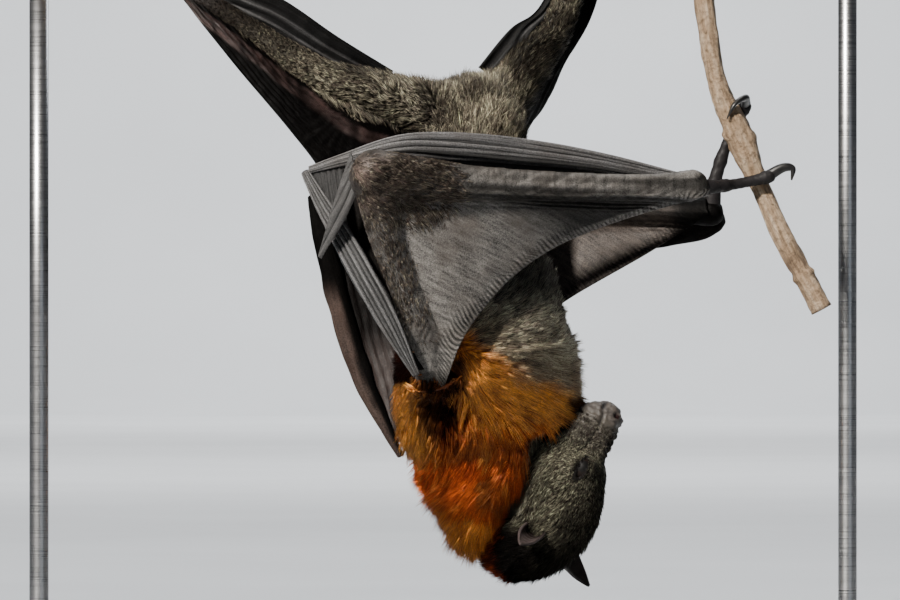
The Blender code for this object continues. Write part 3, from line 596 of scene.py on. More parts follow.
def mesh_of(name, shape, material, colours=None, patches=None):
    """An object of a shape. It carries its tint as `coat`, its `lie` and, for tufts, their map OFBake."""
    points = shape.points
    corners = np.concatenate([group.ravel() for group in shape.faces]).astype(np.int32)
    totals = np.concatenate([np.full(len(group), group.shape[1]) for group in shape.faces])
    starts = np.concatenate([[0], np.cumsum(totals)[:-1]]).astype(np.int32)
    mesh = bpy.data.meshes.new(name)
    mesh.vertices.add(len(points))
    mesh.vertices.foreach_set("co", (points * MM).astype(np.float32).ravel())
    mesh.loops.add(len(corners))
    mesh.loops.foreach_set("vertex_index", corners)
    mesh.polygons.add(len(totals))
    mesh.polygons.foreach_set("loop_start", starts)
    mesh.update(calc_edges=True)
    mesh.shade_smooth()
    if colours is None:
        colours = np.ones((len(points), 3))
    layer = mesh.attributes.new("coat", "FLOAT_COLOR", "POINT")
    opaque = np.hstack([colours, np.ones((len(points), 1))])
    layer.data.foreach_set("color", opaque.astype(np.float32).ravel())
    if "lie" in shape.values:
        layer = mesh.attributes.new("lie", "FLOAT_VECTOR", "POINT")
        layer.data.foreach_set("vector", shape.values["lie"].astype(np.float32).ravel())
    if patches is not None:
        layer = mesh.uv_layers.new(name="OFBake")
        layer.data.foreach_set("uv", patches[corners].astype(np.float32).ravel())
    mesh.materials.append(material)
    obj = bpy.data.objects.new(name, mesh)
    bpy.context.scene.collection.objects.link(obj)
    return obj


def piece(obj, slot, *nodes):
    """Everything rides on the one body, as the model has no joints."""
    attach(obj, "root")
    if nodes:
        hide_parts(*nodes)


def membrane(name, shape, material, tint, *nodes):
    """A piece of wing skin; `tint` multiplies the material's own colour."""
    piece(mesh_of(name, shape, material, tint), "wing_membrane", *nodes)


def even_tint(shape, colour):
    """One colour, or one grey number, for every point."""
    return np.broadcast_to(colour, shape.points.shape)


# ---- the head's own frame ----------------------------------------------------------------------------

FORWARD = np.array((math.cos(MUZZLE_PITCH), 0, math.sin(MUZZLE_PITCH)))
CROWN = np.array((math.sin(MUZZLE_PITCH), 0, -math.cos(MUZZLE_PITCH)))
AWAY = np.array((0.0, 1.0, 0.0))
UP = CROWN * math.cos(HEAD_ROLL) - AWAY * math.sin(HEAD_ROLL)
RIGHT = AWAY * math.cos(HEAD_ROLL) + CROWN * math.sin(HEAD_ROLL)
HEAD_AXES = np.stack([FORWARD, RIGHT, UP])


def in_head(local):
    """Points given forward, right and up of the head's centre, in the frame's axes."""
    return HEAD + np.asarray(local, float) @ HEAD_AXES


def to_head(points):
    return (np.asarray(points, float) - HEAD) @ HEAD_AXES.T


# ---- markings and lie of the coat --------------------------------------------------------------------

OCHRE, ORANGE, RUST, DEEP = tone(255, 180, 88), tone(230, 120, 32), tone(184, 62, 9), tone(46, 16, 6)
GREY_ROOT, GREY_TIP = tone(50, 46, 42), tone(226, 218, 192)
# The last of these is painted shade, for the back of the head and round the eyes.
HEAD_ROOT, HEAD_TIP, HEAD_SHADE = tone(20, 19, 17), tone(142, 138, 116), tone(7, 6, 6)
LIT_HUE = np.array((0.94, 1.08, 1.0))  # lit hair turns yellower and shaded hair redder
LEG_ROOT, LEG_TIP = tone(24, 22, 20), tone(134, 127, 108)
WING_TONE = tone(52, 48, 46)
TIP_GAIN = 1.9  # how much lighter a rufous tuft's tip is than its collar colour


def chest_line(x):
    """Height at which the grey of the belly gives way to the collar."""
    return np.interp(x, [-30, 8, 21, 38, 57], [150, 158, 144, 137, 132])


def head_line(z):
    """How far towards the belly the collar reaches before the dark head begins."""
    return np.interp(z, [54, 60, 66, 71, 81, 92, 104, 114, 118, 121, 125, 130],
                     [29, 22, 20, 21.5, 26, 28, 30.5, 34, 40, 49, 58, 64])


def collar_gap(x, z):
    """How far a place lies past the collar's edge on the head's side, and the way across that edge."""
    slope = (head_line(z + 1.5) - head_line(z - 1.5)) / 3
    size = np.sqrt(1 + slope**2)
    return (x - head_line(z)) / size, np.stack([1 / size, -slope / size], axis=-1)


def trunk_markings(points):
    """Root colour, tip colour and the share of pale tips, for the trunk, mantle and neck."""
    x, z = points[:, 0], points[:, 2]
    wander = 3.5 * noise(points, 9, 1) + 2 * noise(points, 4, 2)
    above = z - chest_line(x) + wander
    to_head_side = collar_gap(x, z)[0] + 0.35 * wander
    grey = smooth(-4, 5, above)
    dark = smooth(-1.5, 1.5, to_head_side) * (1 - grey)
    high = z + 10 * noise(points, 14, 4)
    warm = np.maximum(smooth(104, 138, high), 0.6 * smooth(98, 76, high))
    collar = mixed(RUST, ORANGE, warm)
    # The collar is paler low on the neck. Painted light: it is paler on the upper chest, and the side of the
    # neck and a band across the chest are painted golden where light falls; the rufous and ochre hues are the
    # coat's own.
    collar = collar * (1 + 0.8 * smooth(112, 140, z) + 1.0 * smooth(100, 76, z))[:, None]
    patch = smooth(17, 9, np.hypot(x + 20, (z - 122) * 0.7))  # the side of the neck, painted as lit
    chest = smooth(11, 3, np.abs(z - 136 + 0.30 * (x - 20) - 2)) * smooth(0, 10, x)
    collar = mixed(collar, OCHRE, np.maximum(patch, chest) * 0.85)
    golden = smooth(0.0, 0.9, noise(points, 8, 6) + 0.8 * noise(points, 2.5, 16) + 0.5 * warm - 0.2)
    collar = mixed(collar, OCHRE, golden * 0.5)
    collar = mixed(collar, DEEP, smooth(-7, 0, to_head_side) * 0.6)
    collar = mixed(collar, DEEP, smooth(0.0, 0.7, noise(points, 11, 7) - 0.5 * warm + 0.1) * 0.6)
    # Painted shade: a dark band along the crease across the neck, and a dark cleft in the lower mantle.
    shaded_furrow = smooth(9, 4, np.abs(z - 114 + 0.1 * x + 2 * noise(points, 8, 17)))
    shaded_furrow = shaded_furrow * smooth(-12, 0, x) * smooth(54, 40, x)
    # Painted shadow: the hair under the web's lower tip, behind the wing and beside the chin under the chest
    # is painted near black, roots and tips alike.
    shadow_below_web_tip = smooth(10, 5, np.hypot((x + 5) * 0.78, (z - 132) * 0.38))
    shadow_by_wing = smooth(-11, -16, x) * smooth(135, 141, z)
    shaded_crevice = smooth(4.5, 2, np.abs(x - 17)) * smooth(82, 90, z) * smooth(106, 98, z)
    collar = mixed(collar, DEEP * 0.8, np.maximum(shaded_furrow * 0.8, shaded_crevice * 0.9))
    shadow_near_chin = smooth(41, 50, x + 2 * noise(points, 5, 18)) * smooth(146, 136, z) * smooth(108, 116, z)
    painted_shadow = np.maximum(np.maximum(shadow_below_web_tip, shadow_by_wing), 0.8 * shadow_near_chin)
    most = TIP_GAIN * collar.max(axis=1)
    gold = 0.15 + 0.6 * smooth(0.8, TIP_GAIN, most)
    tip = mixed(collar * (TIP_GAIN / np.maximum(most, 1))[:, None], OCHRE, gold)
    tip = mixed(tip, DEEP * 0.35, painted_shadow * 0.95)
    # Painted light: paler roots and more pale tips where the side of the neck and the chest band are painted
    # lit.
    lit = np.maximum(patch, chest)
    root = mixed(mixed(collar * 0.3, RUST * 0.36, 0.7), mixed(ORANGE, OCHRE, 0.4) * 0.8, lit * 0.8)
    root = mixed(root, DEEP * 0.25, painted_shadow * 0.95)
    brown = smooth(30, 0, above) * grey
    grey_root = mixed(GREY_ROOT, tone(58, 44, 30), brown * 0.7)
    grey_tip = mixed(GREY_TIP, tone(150, 118, 78), brown * 0.6)
    rump = smooth(215, 240, z)
    leg_root, leg_tip, leg_pale = leg_markings(points)
    grey_root, grey_tip = mixed(grey_root, leg_root, rump), mixed(grey_tip, leg_tip * 2.0, rump)
    shaded = between(166, 178, 222, 236, z)  # painted shade on the belly under the wings
    grey_root = mixed(grey_root, tone(16, 16, 17), shaded * 0.8)
    grey_tip = mixed(grey_tip, tone(62, 62, 62), shaded * 0.8)
    root = mixed(mixed(mixed(root, grey_root, grey), HEAD_ROOT, dark), DEEP * 0.2, shadow_by_wing)
    tip = mixed(mixed(mixed(tip, grey_tip, grey), HEAD_TIP, dark), DEEP * 0.4, shadow_by_wing)
    # Painted shade: the head-coloured hair by the back of the head is painted near black.
    rear = smooth(92, 78, z)[:, None] * dark[:, None]
    root, tip = root * (1 - 0.7 * rear), tip * (1 - 0.93 * rear)
    pale = (0.66 + 0.02 * grey + 0.14 * lit) * (1 - dark) + 0.3 * dark
    return root, tip, pale + (leg_pale + 0.06 - pale) * rump


def head_markings(points):
    """Root colour, tip colour and the share of pale tips, for the head."""
    local = to_head(points)
    f, u = local[:, 0], local[:, 2]
    # Painted shade: the back of the head is painted near black.
    back = smooth(6, -12, f + 5 * noise(points, 7, 9))
    root = mixed(HEAD_ROOT, HEAD_SHADE, back)
    tip = mixed(HEAD_TIP, tone(24, 20, 17), back)
    # Painted shade: the crown's hair is darker, with fewer pale tips.
    crown = smooth(5, 15, u + 2 * noise(points, 5, 10)) * smooth(40, 30, f)
    tip = mixed(tip, tone(78, 74, 64), crown * 0.8)
    muzzle = smooth(32, 42, f)
    root = mixed(root, tone(46, 42, 39), muzzle * 0.8)
    tip = mixed(tip, tone(104, 97, 90), muzzle * 0.7)
    # Painted shade: the throat under the jaw is painted near black.
    throat = smooth(1, -2.5, u + 9 + 0.58 * (37.5 - f) + 1.5 * noise(points, 5, 11)) * smooth(44, 40, f)
    root, tip = mixed(root, tone(9, 7, 6), throat), mixed(tip, tone(30, 23, 17), throat)
    collar_side = smooth(0, -4, collar_gap(points[:, 0], points[:, 2])[0] + 1.2 * noise(points, 5, 2))
    collar_side = collar_side * smooth(36, 28, f) * (0.45 + 0.55 * smooth(66, 76, points[:, 2]))
    root, tip = mixed(root, RUST * 0.4, collar_side), mixed(tip, mixed(RUST, ORANGE, 0.4), collar_side)
    pale = np.clip(0.27 - 0.22 * back, 0.05, 1) * (1 - collar_side) * (1 - 0.4 * crown) + 0.7 * collar_side
    # Painted shade: the hair round each eye is painted near black, as in a shaded hollow.
    off = (local - EYE_PLACE * np.where(local[:, 1:2] < 0, (1, -1, 1), (1, 1, 1))) / (5.2, 7, 3.9)
    hollow = smooth(1.25, 0.7, np.linalg.norm(off, axis=1))
    root, tip = mixed(root, HEAD_SHADE * 0.5, hollow), mixed(tip, HEAD_SHADE, hollow)
    return root, tip, pale


def leg_markings(points):
    """The same for the legs, the rump and the fuzz on the flank's web."""
    # The left shin is darker, partly its own dark tone and partly painted shade, while the right shin is left
    # paler. The other darker patches are the fur's own.
    shin = smooth(262, 292, points[:, 2]) * smooth(25, 5, points[:, 0])
    shade = np.maximum(smooth(-0.5, 0.8, noise(points, 10, 12)) * 0.8, shin)
    root = mixed(LEG_ROOT, tone(15, 14, 14), shade)
    return root, mixed(LEG_TIP, tone(56, 49, 40), shade), 0.34 - 0.22 * shade


# Towards which way the coat lies in the plane of the body's side: place (x, z), heading (x, z), lift.
COMB = [
    ((5, 262), (0.0, 1.0), 0.85), ((-20, 255), (-0.5, 0.8), 0.7), ((25, 258), (0.4, 0.8), 0.7),
    ((5, 235), (0.0, 1.0), 0.55), ((30, 230), (0.3, 1.0), 0.5), ((-20, 225), (-0.3, 1.0), 0.5),
    ((8, 200), (0.1, 1.0), 0.45), ((38, 185), (0.3, 1.0), 0.6), ((-22, 190), (-0.3, 1.0), 0.45),
    ((40, 160), (0.8, 0.5), 0.55), ((15, 165), (0.5, 0.6), 0.6), ((-18, 160), (-0.6, 0.6), 0.5),
    ((48, 143), (1.0, 0.0), 0.75), ((22, 148), (1.0, -0.1), 0.7), ((30, 130), (0.9, -0.3), 0.6),
    ((2, 145), (-0.2, -0.3), 0.7), ((-18, 128), (-0.35, -0.8), 0.6), ((-22, 112), (-0.45, -0.85), 0.6),
    ((8, 122), (0.2, -0.9), 0.75), ((12, 104), (-0.6, -0.7), 0.7), ((-4, 92), (-0.9, -0.5), 0.75),
    ((8, 74), (-0.25, -0.9), 0.8), ((22, 64), (0.7, -0.8), 0.8), ((24, 96), (-0.5, -0.8), 0.6),
    ((30, 106), (-0.4, -0.9), 0.5), ((40, 113), (-0.1, -1.0), 0.45), ((52, 126), (1.0, -0.25), 0.6),
]


def combed(points):
    """Heading and lift of the trunk's coat, blended from the comb."""
    places, headings, lifts = (np.array(column, float) for column in zip(*COMB))
    gap = np.linalg.norm(points[:, None, ::2] - places[None], axis=2)
    weight = np.exp(-((gap / 13) ** 2)) + 1e-9 / (gap + 1)
    weight /= weight.sum(axis=1, keepdims=True)
    flat = weight @ headings
    heading = np.stack([flat[:, 0], np.zeros(len(points)), flat[:, 1]], axis=1)
    return heading, weight @ lifts


# ---- regions of the body -----------------------------------------------------------------------------


def route_of(points, radii, count=40):
    places = np.linspace(0, 1, count)
    return spline(points, places), spline(radii, places)


def limb_stations(a, b, shares):
    a, b = np.array(a, float), np.array(b, float)
    return [a + (b - a) * share for share in shares]


def forearm_route(side):
    stations = limb_stations(ELBOW[side], WRIST[side], (0, 0.15, 0.3, 0.5, 0.7, 0.88, 1))
    for i, place in enumerate(stations):
        place[2] -= FOREARM_SAG * math.sin(math.pi * i / (len(stations) - 1))
    return stations


REGIONS = {"trunk": route_of([row[0] for row in SPINE], [row[1] for row in SPINE], 60)}
for _side in ("left", "right"):
    _leg = [HIP[_side], *limb_stations(HIP[_side], KNEE[_side], (0.5, 1)),
            *limb_stations(KNEE[_side], ANKLE[_side], (0.5, 1))]
    REGIONS[f"leg_{_side}"] = route_of(_leg, LEG_RADII)
    REGIONS[f"upper_arm_{_side}"] = route_of(
        limb_stations(SHOULDER[_side], ELBOW[_side], (0, 0.25, 0.5, 0.75, 1)), UPPER_ARM_RADII)
    REGIONS[f"forearm_{_side}"] = route_of(forearm_route(_side), FOREARM_RADII)


REGION_NAMES = list(REGIONS)


def near_route(points, name):
    """For each point: distance from the region's axis over its radius, and how far along it lies."""
    path, radii = REGIONS[name]
    best = np.full(len(points), 1e9)
    share = np.zeros(len(points))
    for k in range(len(path)):
        gap = np.linalg.norm(points - path[k], axis=1) / radii[k]
        closer = gap < best
        best[closer] = gap[closer]
        share[closer] = k / (len(path) - 1)
    return best, share


def region_shares(points):
    """For each point: the region it belongs to, its place along each, and how much each one counts."""
    found = [near_route(points, name) for name in REGION_NAMES]
    gaps = np.stack([gap for gap, _ in found], axis=1)
    along = np.stack([share for _, share in found], axis=1)
    weight = np.exp(-9 * (gaps - gaps.min(axis=1, keepdims=True)))
    weight /= weight.sum(axis=1, keepdims=True)
    return gaps.argmin(axis=1), along, weight


def coat_depth(name, along):
    """How deep the coat is at a place along a region."""
    if name == "trunk":
        return np.interp(along, [0, 0.2, 0.45, 0.62, 1], [6.5, 6, 6, 9, 9.5])
    if name.startswith("leg"):
        return np.interp(along, [0, 0.4, 0.6, 0.8, 1], [5, 4, 2.6, 1.6, 0.8])
    if name.startswith("upper_arm"):
        return np.interp(along, [0, 0.35, 0.6, 1], [6, 3.5, 1.2, 0.8])
    return np.full(len(along), 0.6)


# ---- the skin ----------------------------------------------------------------------------------------

TRUNK_NODES = ["rump", "belly", "chest", "neck"]
LIMB_NODES = [f"leg_{side}_{part}" for side in ("left", "right") for part in ("thigh", "shin")]
ARM_NODES = [f"wing_{side}_{part}" for side in ("left", "right")
             for part in ("upper_arm", "forearm", "wrist")]


def body_surface():
    """The flesh solids closed over their thin cuts, as one even surface."""
    shapes = []
    for name in TRUNK_NODES + LIMB_NODES + ARM_NODES:
        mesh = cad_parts[name].data
        points = np.empty(len(mesh.vertices) * 3, np.float32)
        mesh.vertices.foreach_get("co", points)
        corners = np.empty(len(mesh.loop_triangles) * 3, np.int32)
        mesh.loop_triangles.foreach_get("vertices", corners)
        points, index = np.unique(np.round(points.reshape(-1, 3) / MM, 4), axis=0, return_inverse=True)
        shapes.append(Shape(points, [index.reshape(-1)[corners].reshape(-1, 3)]))
    obj = mesh_of("flesh", joined(shapes), skin_material())
    swell = obj.modifiers.new("swell", "DISPLACE")
    swell.strength, swell.mid_level = 0.45 * MM, 0
    merge = obj.modifiers.new("merge", "REMESH")
    merge.mode, merge.voxel_size = "VOXEL", 1.8 * MM
    even = obj.modifiers.new("even", "SMOOTH")
    even.factor, even.iterations = 0.5, 6
    graph = bpy.context.evaluated_depsgraph_get()
    mesh = bpy.data.meshes.new_from_object(obj.evaluated_get(graph), depsgraph=graph)
    points = np.empty(len(mesh.vertices) * 3, np.float32)
    mesh.vertices.foreach_get("co", points)
    corners = np.empty(len(mesh.polygons) * 4, np.int32)
    mesh.polygons.foreach_get("vertices", corners)
    bpy.data.objects.remove(obj)
    return Shape(points.reshape(-1, 3) / MM, [corners.reshape(-1, 4)])


def body_skin():
    """The body's surface pushed in by the coat's depth, with each point's region and place along it."""
    shape = body_surface()
    region, along, weight = region_shares(shape.points)
    depth = sum(weight[:, k] * coat_depth(name, along[:, k]) for k, name in enumerate(REGION_NAMES))
    normals = shape.normals()
    shape.points = shape.points - normals * depth[:, None]
    shape.values = {"region": region, "along": along, "depth": depth}
    return shape


HEAD_RINGS, HEAD_SIDES = 190, 132
MOUTH_LINE = ([22, 26, 30, 36, 42, 47, 52, 54.7, 57], [-6, -4, -2, 0.2, 1.0, 0.8, -0.4, -2.2, -2.8])


def head_coat_depth(f, u):
    """How deep the head's coat is at a place forward and up of the head's centre."""
    depth = np.interp(f, [-25, 0, 16, 26, 34, 42, 57], [5, 4.6, 3.8, 2.4, 1.3, 0.8, 0.3])
    return depth + np.interp(u, [-20, -8], [1.0, 0.0]) * smooth(34, 20, f)


def mounded(local, normal, centre, radius, height):
    """A smooth rise, or a hollow, on both sides of the head."""
    for sign in (-1, 1):
        gap = np.linalg.norm((local - np.array(centre) * (1, sign, 1)) / radius, axis=1)
        local = local + normal * (height * np.exp(-gap * gap))[:, None]
    return local


EYE_SUNK = 1.7  # how far the eyeball's centre lies inside its place in the solids
SLIT = 4.6  # half the length of the opening between the lids

# Rises and hollows of the face: place on the right side, radius, height.
FACE_MOUNDS = (
    ((30, 8.8, 10.5), 5.0, 2.2),  # brow
    ((22, 15.5, -1.5), 5.5, 1.2),  # under the eye
    ((20, 16.5, -2), 8.0, 1.6),  # cheek
    ((28.5, 13, 4.6), 7.5, 1.5),  # rim of the eye
    ((38, 10, 3.5), 5.0, -1.2),  # before the eye
    ((46, 7.4, 4.6), 5.0, 0.7),  # swell of the upper lip
    ((49, 7.2, -6), 5.0, 0.6),  # lower lip
    ((38, 8.5, -9), 7.0, 1.6),  # jaw
    ((54.0, 4.6, 4.2), 2.4, 1.3),  # nostril tube
)


def eye_frame(sign):
    """The eye's centre, the way it looks, and the ways along and across its slit, in the head's frame."""
    centre = (np.array(EYE_PLACE) - (0, EYE_SUNK, 0)) * (1, sign, 1)
    look = unit(np.array((0.14, 0.98 * sign, 0.08)))
    slit = np.array((1.0, 0, -0.10))
    slit = unit(slit - look * slit.dot(look))
    return centre, look, slit, np.cross(look, slit) * sign


def eye_opening(local, sign):
    """Under 1 within the almond between the lids; also how far out and how high over the eye's centre."""
    centre, look, slit, high = eye_frame(sign)
    off = local - centre
    s, q = off @ slit, off @ high
    width = 1.3 * (1 - 0.3 * (s / 5).clip(-1, 1))
    opening = (s / SLIT) ** 2 + ((q + 0.4 - 0.5 * (s / SLIT) ** 2) / width) ** 2
    return opening, np.hypot(s, q), off @ look


def lids(local):
    """The skin drawn over the eyeballs, with a narrow almond opening."""
    lid = EYE_RADIUS + 0.45
    for sign in (-1, 1):
        opening, around, height = eye_opening(local, sign)
        dome = np.where(around < lid, np.sqrt(np.maximum(lid**2 - around**2, 0)), (lid - around) * 1.6)
        drawn = softly_over(height, dome, 0.45)
        drawn = drawn + 0.3 * bell(opening, 1.6, 0.6)
        drawn = drawn - 0.5 * bell(np.sqrt(opening), 2.1, 0.28) * smooth(8, 5, around)
        drawn = np.where(around < lid, drawn - (drawn - dome + 1.7) * smooth(1.15, 0.85, opening), drawn)
        share = smooth(-4, -1.5, height) * smooth(10.5, 8.0, around)
        local = local + eye_frame(sign)[1] * ((drawn - height) * share)[:, None]
    return local


def head_local():
    """The head's plain skin in its own frame: a loft along the profile, thinner by the coat's depth."""
    back, front = -26.5, 57.4
    ends = 1.0 - np.cos(np.linspace(0, np.pi, HEAD_RINGS))
    share = 0.35 * ends / 2 + 0.65 * np.linspace(0, 1, HEAD_RINGS)
    f = back + share * (front - back)
    dense = np.linspace(0, 1, 600)
    place, top, under, half = (spline([row[k] for row in HEAD_PROFILE], dense) for k in range(4))
    depth_top, depth_under = head_coat_depth(f, 12.0), head_coat_depth(f, -16.0)
    top = np.maximum(np.interp(f, place, top) - depth_top, 1.5)
    ruff = 5.5 * bell(f, 23, 11) + 3.6 * bell(f, 33, 6)
    ruff = ruff + 1.8 * smooth(30, 38, f) * smooth(57, 50, f)
    under = np.minimum(np.interp(f, place, under) + depth_under - ruff, -1.5)
    half = np.maximum(np.interp(f, place, half) - head_coat_depth(f, 0.0), 1.5)
    nose = [(57.9, 0.86), (58.3, 0.64), (58.55, 0.34)]
    f = np.concatenate([f, [row[0] for row in nose]])
    top, under, half = (np.concatenate([v, [v[-1] * row[1] for row in nose]]) for v in (top, under, half))
    c, h = np.cos(turns_of(HEAD_SIDES)), np.sin(turns_of(HEAD_SIDES))
    box = np.interp(f, [14, 28, 45, 56], [1.0, 0.86, 0.72, 0.8])[:, None]
    c = np.sign(c) * np.abs(c) ** box
    h = np.sign(h) * np.abs(h) ** box
    middle, high = (top + under) / 2, (top - under) / 2
    local = np.stack([
        np.broadcast_to(f[:, None], c.shape), half[:, None] * c, middle[:, None] + high[:, None] * h,
    ], axis=-1)
    return ringed(local, (f[0], 0, middle[0]), (58.6, 0, middle[-1]))


def head_skin():
    """The head's skin in the frame's axes, with the face, mouth, nostrils and lids modelled on it."""
    shape = head_local()
    normal = shape.normals()
    if np.sum(normal * (shape.points - (15, 0, 0))) < 0:
        flipped(shape)
        normal = -normal
    local = shape.points
    for place, radius, height in FACE_MOUNDS:
        local = mounded(local, normal, place, radius, height)
    f, r, u = local.T
    off_mouth = u - np.interp(f, *MOUTH_LINE)
    groove = bell(off_mouth, 0, 0.75) * smooth(22, 30, f) * smooth(0.5, 2.2, np.abs(r))
    lips = bell(np.abs(off_mouth), 1.7, 0.8) * smooth(36, 44, f)
    septum = bell(r, 0, 0.75) * smooth(46, 52, f) * smooth(-3.0, -0.5, u)
    wrinkle = np.sin(f * 2.3 + 2.5 * noise(local, 3, 31)) * smooth(30, 42, f) * 0.2
    wrinkle = wrinkle + 0.25 * noise(local, 1.8, 32) * smooth(30, 38, f)
    local = local + normal * (-0.8 * groove + 0.15 * lips - 1.1 * septum + wrinkle)[:, None]
    local = lids(local)
    local = mounded(local, normal, (55.2, 5.6, 4.3), 1.3, -2.4)  # nostril
    local = local + normal * (0.22 * noise(local, 1.6, 21) * smooth(20, 40, local[:, 0]))[:, None]
    shape.points = in_head(local)
    flipped(shape)  # the head's frame is left-handed
    shape.values = {"local": local}
    return shape


def skin_colours(body, head):
    """The coat's own markings, darkened, under the hair, and bare tones on arms, ankles and nose."""
    region = body.values["region"]
    colours = np.empty_like(body.points)
    root, tip, _ = trunk_markings(body.points)
    trunk = mixed(root, tip, 0.12)
    root, tip, _ = leg_markings(body.points)
    leg = mixed(root, tip, 0.2)
    for k, name in enumerate(REGION_NAMES):
        here = region == k
        along = body.values["along"][:, k]
        if name == "trunk":
            colours[here] = trunk[here]
        elif name.startswith("leg"):
            bare = smooth(0.8, 0.97, along)
            colours[here] = mixed(leg, tone(50, 46, 46), bare)[here]
        else:
            lit = 0.8 if "left" in name else 0.04
            wing = WING_TONE * (1 + 0.12 * noise(body.points, 6, 15))[:, None] * lit
            furred = smooth(0.5, 0.25, along) * name.startswith("upper_arm")
            colours[here] = mixed(wing, trunk, furred)[here]
    root, tip, _ = head_markings(head.points)
    local = head.values["local"]
    bare = smooth(48, 54, local[:, 0] + 1.5 * noise(local, 3, 8))
    mouth = bell(local[:, 2], np.interp(local[:, 0], *MOUTH_LINE), 0.7) * smooth(26, 34, local[:, 0])
    face = mixed(mixed(root, tip, 0.2), tone(60, 55, 52), bare * 0.85)
    specks = smooth(0.0, 0.7, noise(local, 1.7, 13)) * smooth(30, 40, local[:, 0]) * 0.6
    face = mixed(face, tone(40, 35, 33), specks)
    face = mixed(face, tone(18, 14, 14), mouth * smooth(0.5, 2.2, np.abs(local[:, 1])) * 0.85)
    for sign in (-1, 1):
        nostril = np.linalg.norm(local - (54.8, 5.2 * sign, 4.3), axis=1)
        face = mixed(face, tone(24, 12, 12), smooth(1.9, 1.0, nostril))
        opening, around, height = eye_opening(local, sign)
        # Painted shade: the skin round each eye's opening is painted dark.
        face = mixed(face, tone(14, 12, 12), smooth(13, 3, opening) * (height > 0) * (around < 7.5) * 0.94)
    return np.vstack([colours, face])


# ---- tufts -------------------------------------------------------------------------------------------

PATCH = 0.003  # across a tuft's patch on the OFBake map
THICKEST = 0.36  # where along itself a tuft is thickest
ROOT_DEPTH = 0.5  # how far a tuft's root lies under the skin


def sampled(shape, density, count):
    """`count` places on the shape, spread by its faces' area and density: point, normal, face."""
    group = shape.faces[0]
    normals = shape.normals()
    p = shape.points[group]
    area = np.linalg.norm(np.cross(p[:, 2] - p[:, 0], p[:, 3] - p[:, 1]), axis=1)
    weight = area * density
    weight = weight / weight.sum()
    face = rng.choice(len(group), size=count, p=weight)
    a, b = rng.random((2, count, 1))
    corners = group[face]
    place = [(1 - a) * (1 - b), a * (1 - b), a * b, (1 - a) * b]
    points = sum(shape.points[corners[:, k]] * place[k] for k in range(4))
    normal = unit(sum(normals[corners[:, k]] * place[k] for k in range(4)))
    return points, normal, face


def spindles(root, normal, heading, lift, length, width, bow, root_colour, tip_colour, where):
    """Closed pointed tufts. Each has its patch on the map round `where`, its root's place there."""
    count = len(root)
    flat = unit(heading - normal * np.sum(heading * normal, axis=1, keepdims=True))
    along = unit(flat * np.cos(lift)[:, None] + normal * np.sin(lift)[:, None])
    side = unit(np.cross(normal, along))
    rise = np.cross(along, side)
    turn = rng.random(count) * 2 * np.pi
    rows, colours, spots = [root - normal * ROOT_DEPTH], [root_colour * 0.8], [np.zeros((count, 2))]
    centre = root + along * (THICKEST * length)[:, None] + bow * (THICKEST * THICKEST * length)[:, None]
    for k in range(3):
        angle = turn + 2 * np.pi * k / 3
        out = side * np.cos(angle)[:, None] + rise * (0.55 * np.sin(angle))[:, None]
        rows.append(centre + out * (width / 2)[:, None])
        colours.append(mixed(root_colour, tip_colour, THICKEST))
        spots.append(np.broadcast_to((0.45 * math.cos(2 * math.pi * k / 3), THICKEST), (count, 2)))
    rows.append(root + (along + bow) * length[:, None])
    colours.append(tip_colour)
    spots.append(np.broadcast_to((0.0, 1.0), (count, 2)))
    low = [(0, 1 + (k + 1) % 3, 1 + k) for k in range(3)]
    pattern = np.array(low + [(1 + k, 1 + (k + 1) % 3, 4) for k in range(3)])
    faces = (np.arange(count) * len(rows))[:, None, None] + pattern[None]
    points = np.stack(rows, axis=1).reshape(-1, 3)
    colours = np.stack(colours, axis=1).reshape(-1, 3)
    patches = where[:, None] + (np.stack(spots, axis=1) - (0, 0.5)) * PATCH
    return Shape(points, [faces.reshape(-1, 3)]), colours, patches.reshape(-1, 2)


def on_map(across, along):
    """Two shares from 0 to 1 as places a little inside the map's edges."""
    return np.stack([0.01 + 0.98 * across, 0.01 + 0.98 * along], axis=1)


def unwrapped(points, name):
    """Angle round a region and place along it, each spread over the map."""
    path, _ = REGIONS[name]
    _, share = near_route(points, name)
    low = np.minimum((share * (len(path) - 1)).astype(int), len(path) - 2)
    step = path[low + 1] - path[low]
    extra = np.sum((points - path[low]) * step, axis=1) / np.sum(step * step, axis=1)
    share = np.clip((low + extra) / (len(path) - 1), -0.02, 1.02)
    along = unit(step)
    across = unit(AWAY - along * (along @ AWAY)[:, None])
    off = points - path[low]
    angle = np.arctan2(np.sum(off * np.cross(along, across), axis=1), np.sum(off * across, axis=1))
    return np.stack([0.01 + 0.98 * (angle + np.pi) / (2 * np.pi), 0.03 + 0.94 * np.clip(share, 0, 1)], axis=1)


def free_tufts(tip, blockers):
    """Which tufts do not stand out in front of a wing's membrane."""
    far_out, margin = 300, 0.6
    free = np.ones(len(tip), bool)
    for sign, low, high, tree in blockers:
        over = np.all((tip[:, ::2] > low[::2]) & (tip[:, ::2] < high[::2]), axis=1)
        for k in np.flatnonzero(over & (tip[:, 1] * sign > 0)):
            x, y, z = tip[k]
            hit = tree.ray_cast(Vector((x, sign * far_out, z)), Vector((0, -sign, 0)))[0]
            if hit is not None and (y - hit.y) * sign > -margin:
                free[k] = False
    return free


def blocker(shape, sign):
    """A membrane as the side it is on, its box, and a tree of its faces for rays."""
    faces = [tuple(face) for group in shape.faces for face in group.tolist()]
    tree = BVHTree.FromPolygons(shape.points.tolist(), faces)
    return sign, shape.points.min(axis=0), shape.points.max(axis=0), tree


